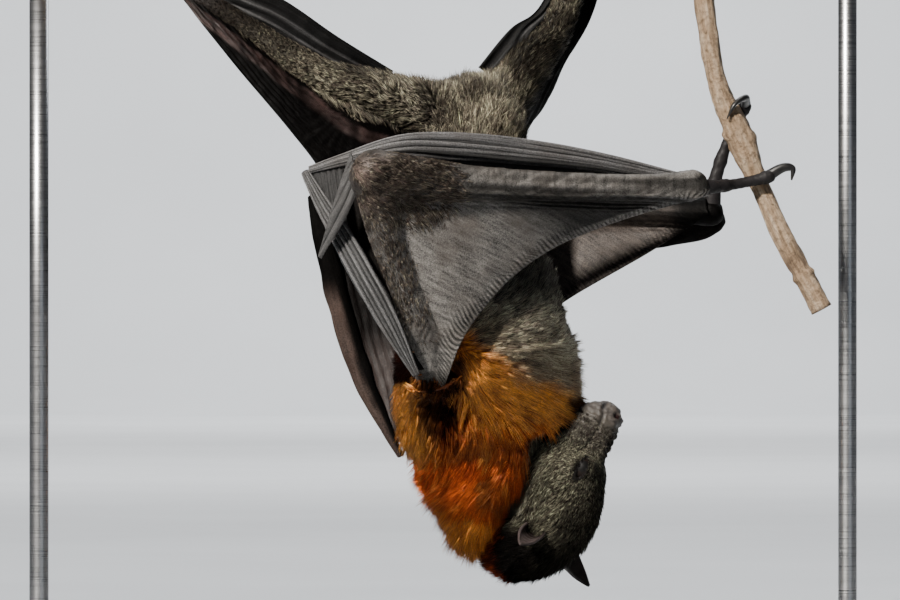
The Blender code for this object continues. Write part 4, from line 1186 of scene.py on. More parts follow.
def drawn_to_locks(root, aim, length, lock):
    """Each tuft's bow towards its lock's tip, and its tint: the lock's own, with painted shade towards its
    edge.
    """
    tufts, pull, turn = lock
    count = len(root)
    leader = rng.choice(count, size=max(count // tufts, 1), replace=False)
    tree = KDTree(len(leader))
    for k, place in enumerate(root[leader]):
        tree.insert(place, k)
    tree.balance()
    found = [tree.find(place)[1:] for place in root]
    mine = np.array([k for k, _ in found])
    gap = np.array([gap for _, gap in found])
    curl = rng.normal(0, turn, (len(leader), 3))
    tip = root[leader] + (aim[leader] + curl) * length[leader][:, None]
    target = tip[mine] + 0.4 * (root - root[leader][mine])
    bow = (target - root) / length[:, None] - aim
    edge = gap / np.maximum(np.bincount(mine, gap, len(leader)) / np.maximum(np.bincount(mine), 1), 0.2)[mine]
    tint = rng.normal(1, 0.3, len(leader)).clip(0.4, 1.9)[mine]
    return bow * pull, tint * (1.18 - 0.28 * edge).clip(0.5, 1.3)


def coat_piece(name, material, slot, root, normal, heading, lift, length, width, bow, markings, where,
               lock, curl=0.45, blockers=(), scatter=0.12):
    """One piece of coat from arrays of tufts, with locks that part and tips that pale unevenly.

    A lock is the number of its tufts, how far they are drawn to its tip and how far that tip turns aside.
    """
    count = len(root)
    lift, length, width = (np.broadcast_to(np.asarray(v, float), count) for v in (lift, length, width))
    drift = noise3(root, 7, 40) + 0.5 * noise3(root, 3, 50)
    heading = unit(heading)
    dark, light, pale = markings(root + heading * (0.45 * length)[:, None])
    heading = heading + curl * drift + rng.normal(0, scatter, (count, 3))
    lift = lift * (1 + 0.25 * noise(root, 5, 60)) + rng.normal(0, 0.07, count)
    length = length * (0.82 + 0.36 * rng.random(count)) * (1 + 0.18 * noise(root, 6, 70))
    chance = rng.random(count)
    shade = (1 + 0.15 * noise(root, 3, 80) + rng.normal(0, 0.2, count)).clip(0.4, 1.9)[:, None]
    bright = mixed(dark, light, 0.16 + 0.84 * np.where(chance < pale, 1.0, 0.2 * chance))
    flat = unit(heading - normal * np.sum(heading * normal, axis=1, keepdims=True))
    aim = flat * np.cos(lift)[:, None] + normal * np.sin(lift)[:, None] + bow
    drawn, tint = drawn_to_locks(root, aim, length, lock)
    bow, aim = bow + drawn, aim + drawn
    shade = (shade * tint[:, None]) ** LIT_HUE
    if blockers:
        keep = free_tufts(root + aim * length[:, None], blockers)
        tufts = (root, normal, heading, lift, length, width, bow, dark, bright, shade, where)
        (root, normal, heading, lift, length, width,
         bow, dark, bright, shade, where) = (value[keep] for value in tufts)
    width = width * (0.8 + 0.4 * rng.random(len(root)))
    shape, colours, patches = spindles(root, normal, heading, lift, length, width, bow,
                                       dark * shade, bright * shade, where)
    colours = colours / np.maximum(colours.max(axis=1, keepdims=True), 1)
    piece(mesh_of(name, shape, material, colours, patches), slot)


def fuzz_markings(points):
    root, tip = (np.broadcast_to(colour, points.shape) for colour in (tone(52, 45, 41), tone(142, 130, 114)))
    return root, tip, np.full(len(points), 0.3)


def arm_fuzz(web, fur):
    """Short hair over the near elbow and down the upper arm, on the membrane's own surface."""
    centre = web.points[web.faces[0]].mean(axis=1)
    x, z = centre[:, 0], centre[:, 2]
    dome = smooth(26, 12, np.hypot(x + 17, (z - 218) * 1.3)) * smooth(-40, -24, x)
    path = limb_stations(ELBOW["left"], SHOULDER["left"], np.linspace(0, 1, 20))
    gap = np.min([np.hypot(x - p[0] + 1, z - p[2]) for p in path], axis=0)
    arm = smooth(10, 4, gap + 3 * noise(centre, 8, 91)) * smooth(150, 175, z)
    density = np.maximum(dome, 0.4 * arm) * (0.4 + 0.6 * smooth(-0.4, 0.4, noise(centre, 4, 92))) + 1e-9
    root, normal, face = sampled(web, density, 6500)
    down = smooth(214, 200, root[:, 2])
    heading = np.stack([0.9 - 0.65 * down, np.zeros(len(root)), -0.35 - 0.6 * down], axis=1)
    size = 3.7 - 1.0 * down
    lie = web.values["lie"][web.faces[0][face, 0]]
    where = on_map((lie[:, 0] / 220).clip(0, 1), (lie[:, 1] / 130).clip(0, 1))
    coat_piece("coat_arm_fuzz", fur, "grey_fur", root, normal, heading, 0.3, size, 0.31, -0.1 * normal,
               fuzz_markings, where, curl=0.35, lock=(5, 0.35, 0.1))


def strip_line(x):
    """Height of the bare strip's upper edge on the near flank's membrane, under the furred thigh."""
    return np.interp(x, [-112, -85, -64.7, -56.7, -45.4, -34, -22.7], [300, 279, 264, 258.3, 249, 243, 240])


def flank_fuzz(web, fur):
    """The thigh's fur going on over the near flank's membrane."""
    centre = web.points[web.faces[0]].mean(axis=1)
    over = centre[:, 2] - strip_line(centre[:, 0]) + 1.5 * noise(centre, 5, 93)
    density = smooth(-0.5, 2.5, over) * smooth(-90, -76, centre[:, 0]) * smooth(-14, -20, centre[:, 0])
    density = density * smooth(236, 240, centre[:, 2]) + 1e-9
    root, normal, face = sampled(web, density, 5000)
    normal = normal * np.where(normal[:, 1:2] > 0, -1, 1)
    heading = np.broadcast_to((-0.55, 0.0, 0.35), root.shape)
    lie = web.values["lie"][web.faces[0][face, 0]]
    where = on_map((lie[:, 0] / 260).clip(0, 1), (lie[:, 1] / 60).clip(0, 1))
    coat_piece("coat_flank_fuzz", fur, "grey_fur", root, normal, heading, 0.55, 5.6, 0.44, -0.15 * normal,
               leg_markings, where, lock=(8, 0.4, 0.18))


def region_of_faces(body):
    """Each face's region and its place along each region, read at its first corner."""
    corner = body.faces[0][:, 0]
    return body.values["region"][corner], body.values["along"][corner]


def free_of_head(points):
    """1 outside the head's skin, 0 within it, so that no hair grows inside the skull."""
    f, r, u = to_head(points).T
    place, *sections = np.array(HEAD_PROFILE).T
    top, under, half = (np.interp(f, place, section) for section in sections)
    middle, high = (top + under) / 2, (top - under) / 2
    margin = 1.5
    size = np.hypot(r / np.maximum(half - margin, 1), (u - middle) / np.maximum(high - margin, 1))
    return 1.0 - ((size < 1) & (f > -25) & (f < 57))


def trunk_hair_length(length, root, heading):
    """A piece's own hair length made longer or shorter place by place."""
    x, z = root[:, 0], root[:, 2]
    gap, across = collar_gap(x, z)
    towards = np.sum(unit(heading)[:, ::2] * across, axis=1)
    short = np.where(gap < 0, (1.0 - gap) / np.maximum(towards + 0.25, 0.1), 5.5)
    most = np.where(z < chest_line(x), np.maximum(short, 3.0), 99)  # so that none hangs over the dark head
    length = length * (1 + 0.35 * smooth(78, 68, z) * smooth(9, 15, x))  # the nape
    length = np.minimum(length, most)
    for more in (
        -0.2 * smooth(34, 44, x) * smooth(150, 138, z) * smooth(126, 132, z),  # the collar's front edge
        -0.35 * smooth(34, 44, x) * smooth(140, 151, z) * smooth(178, 168, z),  # the throat above it
        -0.3 * smooth(17, 9, np.hypot(x + 20, (z - 122) * 0.7)),  # the side of the neck painted as lit
        -0.45 * smooth(9, 5, np.hypot((x + 5) * 0.8, (z - 140) * 0.5)),  # under the web's lower tip
        0.35 * smooth(9, 4, np.hypot(x - 51, z - 126)),  # beside the chin
        -0.5 * smooth(-11, -16, x) * smooth(132, 141, z) * smooth(190, 170, z),  # behind the wing
    ):
        length = length * (1 + more)
    return length


# Pieces of the trunk's coat: part, tufts, length, width, how far they hang down, scatter, and their locks.
TRUNK_COATS = {
    "coat_mantle_near_1": ("collar_low", 33000, 10.0, 0.41, 0.16, 0.12, (8, 0.42, 0.26)),
    "coat_mantle_near_2": ("collar_high", 33000, 10.5, 0.41, 0.20, 0.12, (8, 0.42, 0.28)),
    "coat_mantle_far": ("collar_far", 20000, 11.0, 0.8, 0.18, 0.12, (14, 0.42, 0.26)),
    "coat_belly_near": ("belly_near", 31000, 5.6, 0.40, 0.04, 0.26, (6, 0.4, 0.22)),
    "coat_belly_far": ("belly_far", 13000, 7.0, 0.8, 0.04, 0.26, (12, 0.5, 0.22)),
    "coat_rump": ("rump", 28000, 5.8, 0.42, 0.0, 0.42, (5, 0.38, 0.24)),
    "coat_shoulders": ("shoulders", 6000, 8.5, 0.8, 0.1, 0.12, (20, 0.7, 0.3)),
}


def trunk_coat(body, furs, blockers):
    """The hair of trunk, neck and shoulders: rufous on collar and shoulders, grey elsewhere."""
    region, along = region_of_faces(body)
    trunk = region == REGION_NAMES.index("trunk")
    share = along[:, REGION_NAMES.index("trunk")]
    upper_arm = np.array([name.startswith("upper_arm") for name in REGION_NAMES])
    arm_share = np.max(np.where(upper_arm, along, 0), axis=1)
    centre = body.points[body.faces[0]].mean(axis=1)
    mantle = (trunk & (share > 0.5)) * free_of_head(centre)
    lower = trunk & (share <= 0.52)
    near = np.arctan2(centre[:, 1] - 3, centre[:, 0] - 14) < 0
    parts = {
        "collar_low": mantle * near * (share < 0.74),
        "collar_high": mantle * near * (share >= 0.72),
        "collar_far": mantle * ~near,
        "belly_near": lower * near * (share > 0.2),
        "belly_far": lower * ~near * (share > 0.2),
        "rump": lower * (share <= 0.24),
        "shoulders": upper_arm[region] & (arm_share < 0.5),
    }
    for name, (part, count, length, width, hang, scatter, lock) in TRUNK_COATS.items():
        rufous = "mantle" in name or "shoulders" in name
        root, normal, face = sampled(body, parts[part], count)
        heading, lift = combed(root)
        bow = np.array((0, 0, -hang)) + unit(heading) * 0.12 - normal * 0.12
        depth = body.values["depth"][body.faces[0][face, 0]]
        length = length * np.interp(depth, [1, 4, 6, 9], [0.35, 0.8, 1, 1.05])
        coat_piece(name, furs[1] if rufous else furs[0], "rufous_fur" if rufous else "grey_fur",
                   root, normal, heading, lift, trunk_hair_length(length, root, heading), width, bow,
                   trunk_markings, unwrapped(root, "trunk"), lock, curl=0.5 if rufous else 0.35,
                   blockers=blockers, scatter=scatter)


def leg_coat(body, fur, blockers):
    """Fur down each leg, shorter and finer towards the ankle."""
    region, along = region_of_faces(body)
    for side in ("left", "right"):
        name = f"leg_{side}"
        k = REGION_NAMES.index(name)
        share = along[:, k]
        density = (region == k) * np.interp(share, [0, 0.5, 0.85, 0.93], [1.0, 1.1, 0.9, 0.0])
        root, normal, face = sampled(body, density, 14000)
        path, _ = REGIONS[name]
        place = share[face]
        index = np.minimum((place * (len(path) - 1)).astype(int), len(path) - 2)
        heading = unit(path[index + 1] - path[index])
        length = np.interp(place, [0, 0.4, 0.6, 0.95], [6.8, 4.6, 2.4, 1.4])
        lift = np.interp(place, [0, 0.4, 0.8], [0.6, 0.45, 0.3])
        width = np.interp(place, [0, 1], [0.44, 0.36])
        bow = -0.15 * normal
        coat_piece(f"coat_leg_{side}", fur, "grey_fur", root, normal, heading, lift, length, width, bow,
                   leg_markings, unwrapped(root, name), lock=(5, 0.4, 0.18), blockers=blockers, scatter=0.24)


def head_coat(head, fur):
    """Short fur that runs from the nose to the crown, shortest round the eye and on the muzzle."""
    group = head.faces[0]
    local = head.values["local"][group].mean(axis=1)
    bare = smooth(51, 46, local[:, 0])
    for sign in (-1, 1):
        opening, around, height = eye_opening(local, sign)
        bare = bare * np.where((height > 0) & (around < 6), smooth(1.6, 3.2, opening), 1)
    for sign in (-1, 1):
        off = local - np.array(EAR_ROOT) * (1, sign, 1)
        bare = bare * smooth(1.5, 3.5, np.linalg.norm(off, axis=1))
    neck_gap, _ = near_route(head.points[group].mean(axis=1), "trunk")
    out_of_neck = smooth(0.55, 0.75, neck_gap)
    density = bare * out_of_neck * np.interp(local[:, 0], [-20, 10, 30, 45], [0.8, 1.0, 1.7, 1.9])
    for name, chosen, count, coarse in (
        ("coat_head_near", local[:, 1] < 0.5, 32000, 1),
        ("coat_head_far", local[:, 1] >= 0.5, 13500, 1.4),
    ):
        root, normal, _ = sampled(head, chosen * density, count)
        f, r, u = to_head(root).T
        rear = smooth(6, -10, f)
        heading = np.stack([-np.ones(count), 0.25 * np.sign(r) + 0.02 * r, -0.10 - 0.75 * rear], axis=1)
        eye = np.stack([f - EYE_PLACE[0], r - EYE_PLACE[1] * np.sign(r), u - EYE_PLACE[2]], axis=1)
        around = np.linalg.norm(eye, axis=1)
        heading = heading + unit(eye) * (0.9 * smooth(12, 6, around))[:, None]
        heading = heading @ HEAD_AXES
        length = np.interp(f, [-22, -12, 0, 14, 26, 34, 42, 50], [4.2, 5.2, 5.0, 4.2, 3.2, 2.2, 1.5, 1.0])
        length = length * (1 - 0.6 * smooth(11, 5, around))
        nape = smooth(-13, -20, f) * smooth(3, -5, u)
        length = length + 6 * nape + 1.2 * smooth(6, 12, u) * smooth(12, 0, f)
        heading = heading + np.array((-1.1, 0, 0.1)) * nape[:, None]
        lift = np.interp(f, [-22, 0, 20, 34, 50], [0.62, 0.6, 0.52, 0.4, 0.3])
        width = np.interp(f, [-22, 10, 30, 50], [0.5, 0.44, 0.36, 0.28]) * coarse
        bow = -0.14 * normal
        bow[:, 2] -= 0.08 * smooth(10, -10, f)
        round_head = 0.01 + 0.98 * (np.arctan2(u, r) + np.pi) / (2 * np.pi)
        where = np.stack([round_head, 0.02 + 0.96 * (f + 27) / 86], axis=1)
        coat_piece(name, fur, "face_fur", root, normal, heading, lift, length, width, bow, head_markings,
                   where.clip(0.005, 0.995), curl=0.3, lock=(6, 0.42, 0.18))


# ---- ears and eyes -----------------------------------------------------------------------------------


def ear_shape(side, sign):
    """A pointed cup: nearly a tube at the root, opening towards the face and flattening to the tip."""
    lean = unit(np.array(EAR_LEAN[side]) * (1, sign, 1) @ HEAD_AXES)
    opening = unit(np.array((0.75, 0.65 * sign, 0)) @ HEAD_AXES)
    opening = unit(opening - lean * opening.dot(lean))
    across = np.cross(lean, opening)
    root, size = in_head(np.array(EAR_ROOT) * (1, sign, 1)), EAR_SIZE[side]
    s, w = np.meshgrid(np.linspace(0, 1, 54) ** 0.9, np.linspace(-1, 1, 42), indexing="ij")
    radius = size * np.interp(s, [0, 0.2, 0.45, 0.7, 0.9, 1], [4.0, 5.2, 6.8, 8.4, 9.0, 9.0])
    spread = np.radians(np.interp(s, [0, 0.25, 0.5, 0.7, 0.82, 0.92, 1], [120, 92, 64, 38, 25, 13, 2]))
    turn = spread * w
    grid = root + lean * (EAR_LENGTH * size * s - 6)[..., None] + across * (radius * np.sin(turn))[..., None]
    grid = grid + opening * (radius * (1 - np.cos(turn)) - 1.5)[..., None]
    n = grid_normals(grid)
    if np.sum(n * opening) < 0:
        n = -n
    ribs = 0.25 * np.sin(s * 52 + 2 * noise(grid, 5, 3)) * (1 - np.abs(w)) * smooth(0.12, 0.3, s) * (1 - s)
    rim = bell(np.abs(w), 0.96, 0.07)
    thick = (0.42 + 0.3 * (1 - np.abs(w)) + 0.22 * rim) * np.interp(s, [0, 1], [1.3, 0.8])
    grid = grid + n * (ribs + 0.2 * noise(grid, 4, 5))[..., None]
    lie = np.stack([EAR_LENGTH * s, radius * turn, s], axis=-1)
    return slab(grid + n * thick[..., None], grid - n * thick[..., None], lie)


def eyeball(sign):
    """A sphere whose kept value is the angle from the way the eye looks."""
    centre = in_head(eye_frame(sign)[0])
    look = unit(np.array((0.22, 0.96 * sign, 0.06)) @ HEAD_AXES)
    side = unit(np.cross(look, FORWARD))
    rise = np.cross(look, side)
    polar, angle = np.linspace(0.02, np.pi - 0.02, 40), turns_of(48)
    path = centre + look * (np.cos(polar) * EYE_RADIUS)[:, None]
    cornea = 1 + 0.05 * bell(polar, 0, 0.5)
    radii = np.sin(polar) * EYE_RADIUS * cornea
    path = centre + (path - centre) * cornea[:, None]
    rings = path[:, None] + radii[:, None, None] * (
        side * np.cos(angle)[None, :, None] + rise * np.sin(angle)[None, :, None])
    polar, angle = np.meshgrid(polar, angle, indexing="ij")
    lie = np.stack([polar, angle, 0 * polar], axis=-1).reshape(-1, 3)
    shape = ringed(rings, path[0], path[-1], lie=np.vstack([lie, [0, 0, 0], [np.pi, 0, 0]]))
    if np.sum(shape.normals() * (shape.points - centre)) < 0:
        flipped(shape)
    return shape


# ---- wings -------------------------------------------------------------------------------------------


def arm_bones(side):
    """The arm's two bones with their flesh as routes with radii, the elbow rounded up into a dome."""
    forearm, upper = forearm_route(side), limb_stations(ELBOW[side], SHOULDER[side], (0, 0.25, 0.5, 0.75, 1))
    rise = np.array((4, 0, 1.5) if side == "left" else (3, 0, 1))
    forearm[0], forearm[1], upper[0] = forearm[0] + rise, forearm[1] + rise * 0.4, upper[0] + rise * 0.8
    return [
        route_of(forearm, (9.6, 8.8, 7.6, 6.4, 5.8, 5.8, 7.4)),
        route_of(upper, (9.0, 7.2, 6.2, 7.5, 8.5)),
    ]


def bone_heights(points, side, sign):
    """Front and back of the arm over each point of a wing, along Y, and how far inside its outline it is."""
    flat = points.reshape(-1, 3)
    front, back = np.full(len(flat), -1e3), np.full(len(flat), -1e3)
    inside = np.full(len(flat), -1e3)
    for path, radii in arm_bones(side):
        gap = np.full(len(flat), 1e9)
        mid, size = np.zeros(len(flat)), np.zeros(len(flat))
        for a, b, ra, rb in zip(path, path[1:], radii, radii[1:]):
            step = b[::2] - a[::2]
            t = np.clip((flat[:, ::2] - a[::2]) @ step / step.dot(step), 0, 1)
            d = np.linalg.norm(flat[:, ::2] - a[::2] - t[:, None] * step, axis=1)
            closer = d < gap
            gap = np.where(closer, d, gap)
            mid = np.where(closer, a[1] + (b[1] - a[1]) * t, mid)
            size = np.where(closer, ra + (rb - ra) * t, size)
        bulge = np.where(gap < size, np.sqrt(np.maximum(size**2 - gap**2, 0)), -(gap - size) * 2.2)
        front = np.maximum(front, sign * mid + bulge)
        back = np.maximum(back, -sign * mid + bulge)
        inside = np.maximum(inside, size - gap)
    shape = points.shape[:-1]
    return front.reshape(shape), back.reshape(shape), inside.reshape(shape)


def softly_over(a, b, blend):
    """The higher of two heights, rounded where they cross."""
    return blend * np.logaddexp(a / blend, b / blend)


def arm_web(side, sign, columns, rows):
    """The leading-edge membrane drawn over forearm and upper arm, so that they show as ridges in it."""
    wrap_rows, thickness = 12, 0.9
    bow = (0, FORE_WEB_BULGE[side], 0)
    arm_edge, free_edge = list(FORE_WEB_ARM[side]), list(FORE_WEB_FREE[side])
    if side == "left":  # on round the end of the wrist
        arm_edge, free_edge = [(108.6, -19.5, 218.5), *arm_edge], [(108.2, -18.5, 215.5), *free_edge]
    grid, lie = web_grid(arm_edge, free_edge, bow, columns, rows)
    along = np.gradient(grid[0], axis=0)
    outward = np.stack([along[:, 2], np.zeros(columns), -along[:, 0]], axis=1)
    outward = unit(outward * np.sign(np.sum(outward * (grid[0] - grid[2]), axis=1))[:, None])
    steps = np.linspace(0, 26, 105)
    _, _, inside = bone_heights(grid[:1] + outward * steps[:, None, None], side, sign)
    left = np.where((inside < 0).any(axis=0), np.argmax(inside < 0, axis=0), 0)
    reach = np.clip(steps[left] - 0.1, 0.4, 16)
    q = np.linspace(1, 0, wrap_rows, endpoint=False)[:, None, None]
    wrap = grid[0][None] + outward[None] * (reach[None, :, None] * np.sin(q * np.pi / 2))
    wrap_lie = np.repeat(lie[:1], wrap_rows, axis=0)
    wrap_lie[..., 1] = lie[0, :, 1] + np.linalg.norm(wrap - grid[0][None], axis=-1)
    wrap_lie[..., 2] = 0
    grid, lie = np.concatenate([wrap, grid]), np.concatenate([wrap_lie, lie])
    front_bone, back_bone, _ = bone_heights(grid, side, sign)
    beyond = np.linalg.norm(grid - grid[wrap_rows], axis=-1) * (np.arange(len(grid)) < wrap_rows)[:, None]
    web = sign * grid[..., 1]
    inner = smooth(0.0, 0.25, lie[..., 2]) * smooth(1.0, 0.8, lie[..., 2])
    folds = 0.7 * noise(grid, 22, 5) * inner + 0.25 * noise(grid, 8, 7) * inner + 0.08 * noise(grid, 2.6, 8)
    ruffle = lie[..., 0] + 0.5 * lie[..., 1] + 2.0 * noise(grid, 9, 9)
    gather = 9 + 6 * noise(grid, 16, 10)
    near_edge = smooth(gather, 2.5, lie[..., 1]) * smooth(-0.2, 1.2, lie[..., 1])
    gathers = np.sin(2 * np.pi * ruffle / 1.8) * near_edge
    folds = folds + 0.85 * gathers
    under_arm = lie[wrap_rows, :, 1] - lie[..., 1]
    shaded_furrow = np.sin(2 * np.pi * (under_arm / 4.2 + 0.4 * noise(grid * (0.3, 1, 1), 6, 12)))
    along_arm = np.linspace(0, 1, grid.shape[1])
    wristward = smooth(0.62, 0.35, along_arm)
    shaded_furrow = shaded_furrow * wristward * smooth(3, 7, under_arm) * smooth(24, 12, under_arm)
    folds = folds + 1.0 * shaded_furrow - 1.6 * smooth(3, 8, under_arm) * smooth(24, 11, under_arm)
    on_bone = smooth(-1.5, 1.5, front_bone - web)
    wrinkle = noise(np.stack([lie[..., 0] / 16, lie[..., 1] / 1.3, 0 * web], axis=-1), 1, 18)
    ridge = noise(np.stack([lie[..., 0] / 45, under_arm / 2.4, 0 * web], axis=-1), 1, 19) * wristward
    # The skin over the bone is darker, more so towards the wrist. Painted light and shade: the gathers and
    # furrows are paler on their crests and darker in their troughs, and the forearm's ridges and wrinkles
    # paler and darker.
    shade = (1 + 0.7 * gathers + 0.5 * shaded_furrow.clip(-1, 0.3)) * (1 - on_bone * (0.42 - 0.3 * wrinkle))
    at_wrist = smooth(0.2, 0.05, along_arm)
    shade = shade * (1 + on_bone * (1.1 * ridge - 0.15 * wristward - 0.5 * at_wrist))
    # Painted shadow: the web folded under the forearm by the wrist is painted dark.
    folded = smooth(0.5, 0.3, along_arm) * smooth(3, 7, under_arm) * smooth(2.5, 5, lie[..., 1])
    shade = shade * (1 - (0.93 if side == "left" else 0.3) * folded)
    half = thickness / 2 * (1 + 0.6 * bell(lie[..., 1], 0, 1.2))
    front = softly_over(web + folds + half - 1.2 * beyond, front_bone, 2.2)
    front = front + (0.3 * wrinkle + 0.9 * ridge) * on_bone
    back = softly_over(-web - folds + half - 1.2 * beyond, back_bone, 1.6)
    front = np.maximum(front, -back + 0.5)
    front_grid, back_grid = grid.copy(), grid.copy()
    front_grid[..., 1] = sign * front
    back_grid[..., 1] = -sign * back
    shape = slab(front_grid, back_grid, lie)
    shape.values["shade"] = np.tile(shade.clip(0.15, 1.6).ravel(), 2)
    return shape


def strand(route, depth, rise, wide, high, sides=16, count=110, twist=0.0, seed=0, power=0.9):
    """A flat tube beside a route, offset by `depth` away from the camera and by `rise` upwards."""
    places = np.linspace(0, 1, count)
    path = spline(route, places)
    along = unit(np.gradient(path, axis=0))
    across = unit(AWAY - along * (along @ AWAY)[:, None])
    up = np.cross(along, across)
    up = up * np.sign(up[:, 2:3].sum() or 1)
    path = path + across * spline(depth, places)[:, None] + up * spline(rise, places)[:, None]
    turn = across * math.cos(twist) + up * math.sin(twist)

    def ripple(s, angle):
        grid = np.stack([s * 40, np.cos(angle) * 3, np.sin(angle) * 3 + seed * 7], axis=-1)
        return 1 + 0.10 * noise(grid, 2.5, seed)

    return tube(path, spline(wide, places), spline(high, places), turn, sides, ripple, power)


# Ribs of the folded fingers, from above downwards: rise, depth, half width and half height.
FINGER_RIBS = (
    (4.6, 1.0, 0.75, 1.1), (3.7, 2.0, 0.55, 0.6), (2.7, 2.5, 0.8, 1.0), (1.6, 2.9, 0.5, 0.7),
    (0.6, 2.9, 0.85, 1.15), (-0.7, 3.1, 0.5, 0.7), (-1.7, 2.9, 0.7, 1.0), (-2.9, 2.8, 0.85, 1.0),
    (-3.9, 2.2, 0.5, 0.7), (-4.8, 1.7, 0.75, 0.9),
)
# Painted light and shade of each rib: the pale ribs stand for lit ridges and the dark ones for the shaded
# gaps between them.
RIB_LIGHT_AND_SHADE = (1.9, 0.45, 1.3, 0.4, 1.8, 0.7, 1.2, 0.35, 1.7, 0.9)


def finger_bundle(side):
    """Folded fingers with the web pleated between them: a core, a filler under it, and fine ribs in front."""
    route, out = FINGERS_ROUTE[side], -1 if side == "left" else 1
    size = np.array((0.45, 0.7, 0.95, 1.0, 0.8, 0.45, 0.25))
    seed = 0 if side == "left" else 30
    # Painted shade: the core and the filler under the ribs are dark, as in the grooves between the fingers.
    parts, shades = [], [0.3, 0.3]

    def laid(depth, rise, wide, high, count, sides, twist, power=0.9):
        parts.append(strand(route, out * depth, rise, wide, high, sides, count, twist=-out * twist,
                            seed=seed + len(parts), power=power))

    laid(0 * size, -0.3 * size, 2.9 * size, 5.0 * size, 110, 20, 0.0)
    laid(-1.8 * size, -5.2 * size, 1.1 * size, 4.6 * size + 0.6, 90, 12, 0.0)
    places = np.linspace(0, 1, 7)
    for k, (rise, depth, wide, high) in enumerate(FINGER_RIBS if side == "left" else FINGER_RIBS[::2]):
        wander = 0.45 * np.sin(places * 7 + k * 2.1 + seed) * size
        laid(depth * size, rise * size + wander, wide * size + 0.12, high * size + 0.12,
             90, 10, 0.5 * math.sin(k * 1.7), 0.85)
        shades.append(RIB_LIGHT_AND_SHADE[k])
    return shaded(parts, shades)


def shaded(parts, shades):
    """Shapes joined, each with its own painted light and shade kept for its points."""
    for part, shade in zip(parts, shades):
        part.values["shade"] = np.full(len(part.points), shade)
    return joined(parts)


def tip_bundle(side):
    """The wing tip: the last finger joints, laid side by side like closed fan blades."""
    route = TIP_ROUTE[side]
    out = -1 if side == "left" else 1
    full = {"left": (2.0, 3.6, 5.2, 5.2, 1.6), "right": (1.8, 4.2, 5.0, 4.6, 1.5)}[side]
    none = [0] * len(full)
    parts = [strand(route, none, none, [0.45 * h for h in full], [0.95 * h for h in full], seed=3)]
    blades = 5
    for k in range(blades):
        place = (k - (blades - 1) / 2) / ((blades - 1) / 2)
        rise = [place * h * 0.72 for h in full]
        depth = [out * (0.42 * h - 0.5 * abs(place)) for h in full]
        high = [0.22 * h + 0.12 for h in full]
        parts.append(strand(route, depth, rise, [0.7 * h + 0.1 for h in high], [0.62 * h for h in high],
                            sides=12, count=90, twist=0.3 * -out, seed=20 + k, power=0.8))
    # Painted light and shade: a dark core, and blades pale and paler in turn, for lit ridges.
    return shaded(parts, [0.4] + [1.0 if k % 2 else 1.9 for k in range(blades)])


def folded_web(route_a, route_b, bow, columns, rows, thickness, height, wave, seed):
    """A pleated web between two routes."""
    grid, lie = web_grid(route_a, route_b, bow, columns, rows)
    return pleated(grid, lie, thickness, height, wave, seed)


def flank_web(side, sign):
    """From leg and flank to the folded hand: a pleated strip, then a fold that turns from the light."""
    inner, outer = FLANK_WEB_BODY[side], FLANK_WEB_FREE[side]
    bow = (1, -2, -1) if side == "left" else (2, 3, 0)
    inner, outer = np.array(inner, float), np.array(outer, float)
    reach = np.array((0.04, 0.10, 0.22, 0.45, 0.45, 0.35, 0.3))[:, None]
    inner, outer = inner - (outer - inner) * reach, outer + (outer - inner) * reach * 0.35
    if side == "left":
        away = [(0, 0, 0), (0, 0, 0), (0, 2, -2), (-2, 9, -2), (-6, 11, -4), (-4, 6, 0), (0, 0, 0)]
        outer = outer + np.array(away)
    grid, lie = web_grid(inner, outer, bow, *((200, 34) if side == "left" else (130, 20)))
    v = lie[..., 2]
    strip = np.interp(v, [0, 0.12, 0.42, 0.5, 0.75, 1.0], [0, 2.2, 3.4, 3.8, 1.4, 0.0])
    strip = sign * strip * smooth(0.0, 0.08, lie[..., 0] / lie[..., 0].max())
    grid = grid + np.stack([0 * v, strip, 0 * v], axis=-1)
    return pleated(grid, lie, 0.8, 0.9, 2.6, 4, fade=(0.0, 0.06))


def wrist_and_thumb(side):
    """The wrist's end and the thumb as one ringed tube, thicker at its joints."""
    places = np.linspace(0, 1, 110)
    path = spline(THUMB_ROUTE[side], places)
    radii = spline((4.0, 3.2, 2.4, 2.2, 2.3, 2.7), places)
    radii = radii + (0.5 * bell(places, 0.42, 0.05) + 0.35 * bell(places, 0.93, 0.05))

    def ripple(s, angle):
        rings = np.abs(np.sin(s * 44 + 1.2 * np.sin(angle * 2) + 0.8 * np.sin(angle))) - 0.5
        return 1 + 0.07 * rings * smooth(0.1, 0.2, s) * smooth(1.0, 0.85, s)

    return tube(path, radii, radii, (0, 0.2, 1) if side == "left" else (1, 0.2, 0), 24, ripple)


def claw_shape(route, radii, across, count=44, sides=18):
    """A curved claw, deeper than wide, with a point."""
    places = np.linspace(0, 1, count)
    path = spline(route, places)
    size = spline(radii, places)
    return tube(path, size * 0.72, size, across, sides)


# ---- feet --------------------------------------------------------------------------------------------


def foot_frame(side):
    """A function that gives points round the perch at the foot, and the way along the perch."""
    centre = PERCH_LEFT + (PERCH_RIGHT - PERCH_LEFT) * FOOT_ON_PERCH[side]
    along = unit(PERCH_RIGHT - PERCH_LEFT)
    back = unit(AWAY - along * along[1])
    rise = np.cross(along, back)
    rise = rise if rise[2] > 0 else -rise

    def round_perch(degrees, reach, offset):
        angle = math.radians(degrees)
        return centre + along * offset + (back * math.sin(angle) - rise * math.cos(angle)) * reach

    return round_perch, along


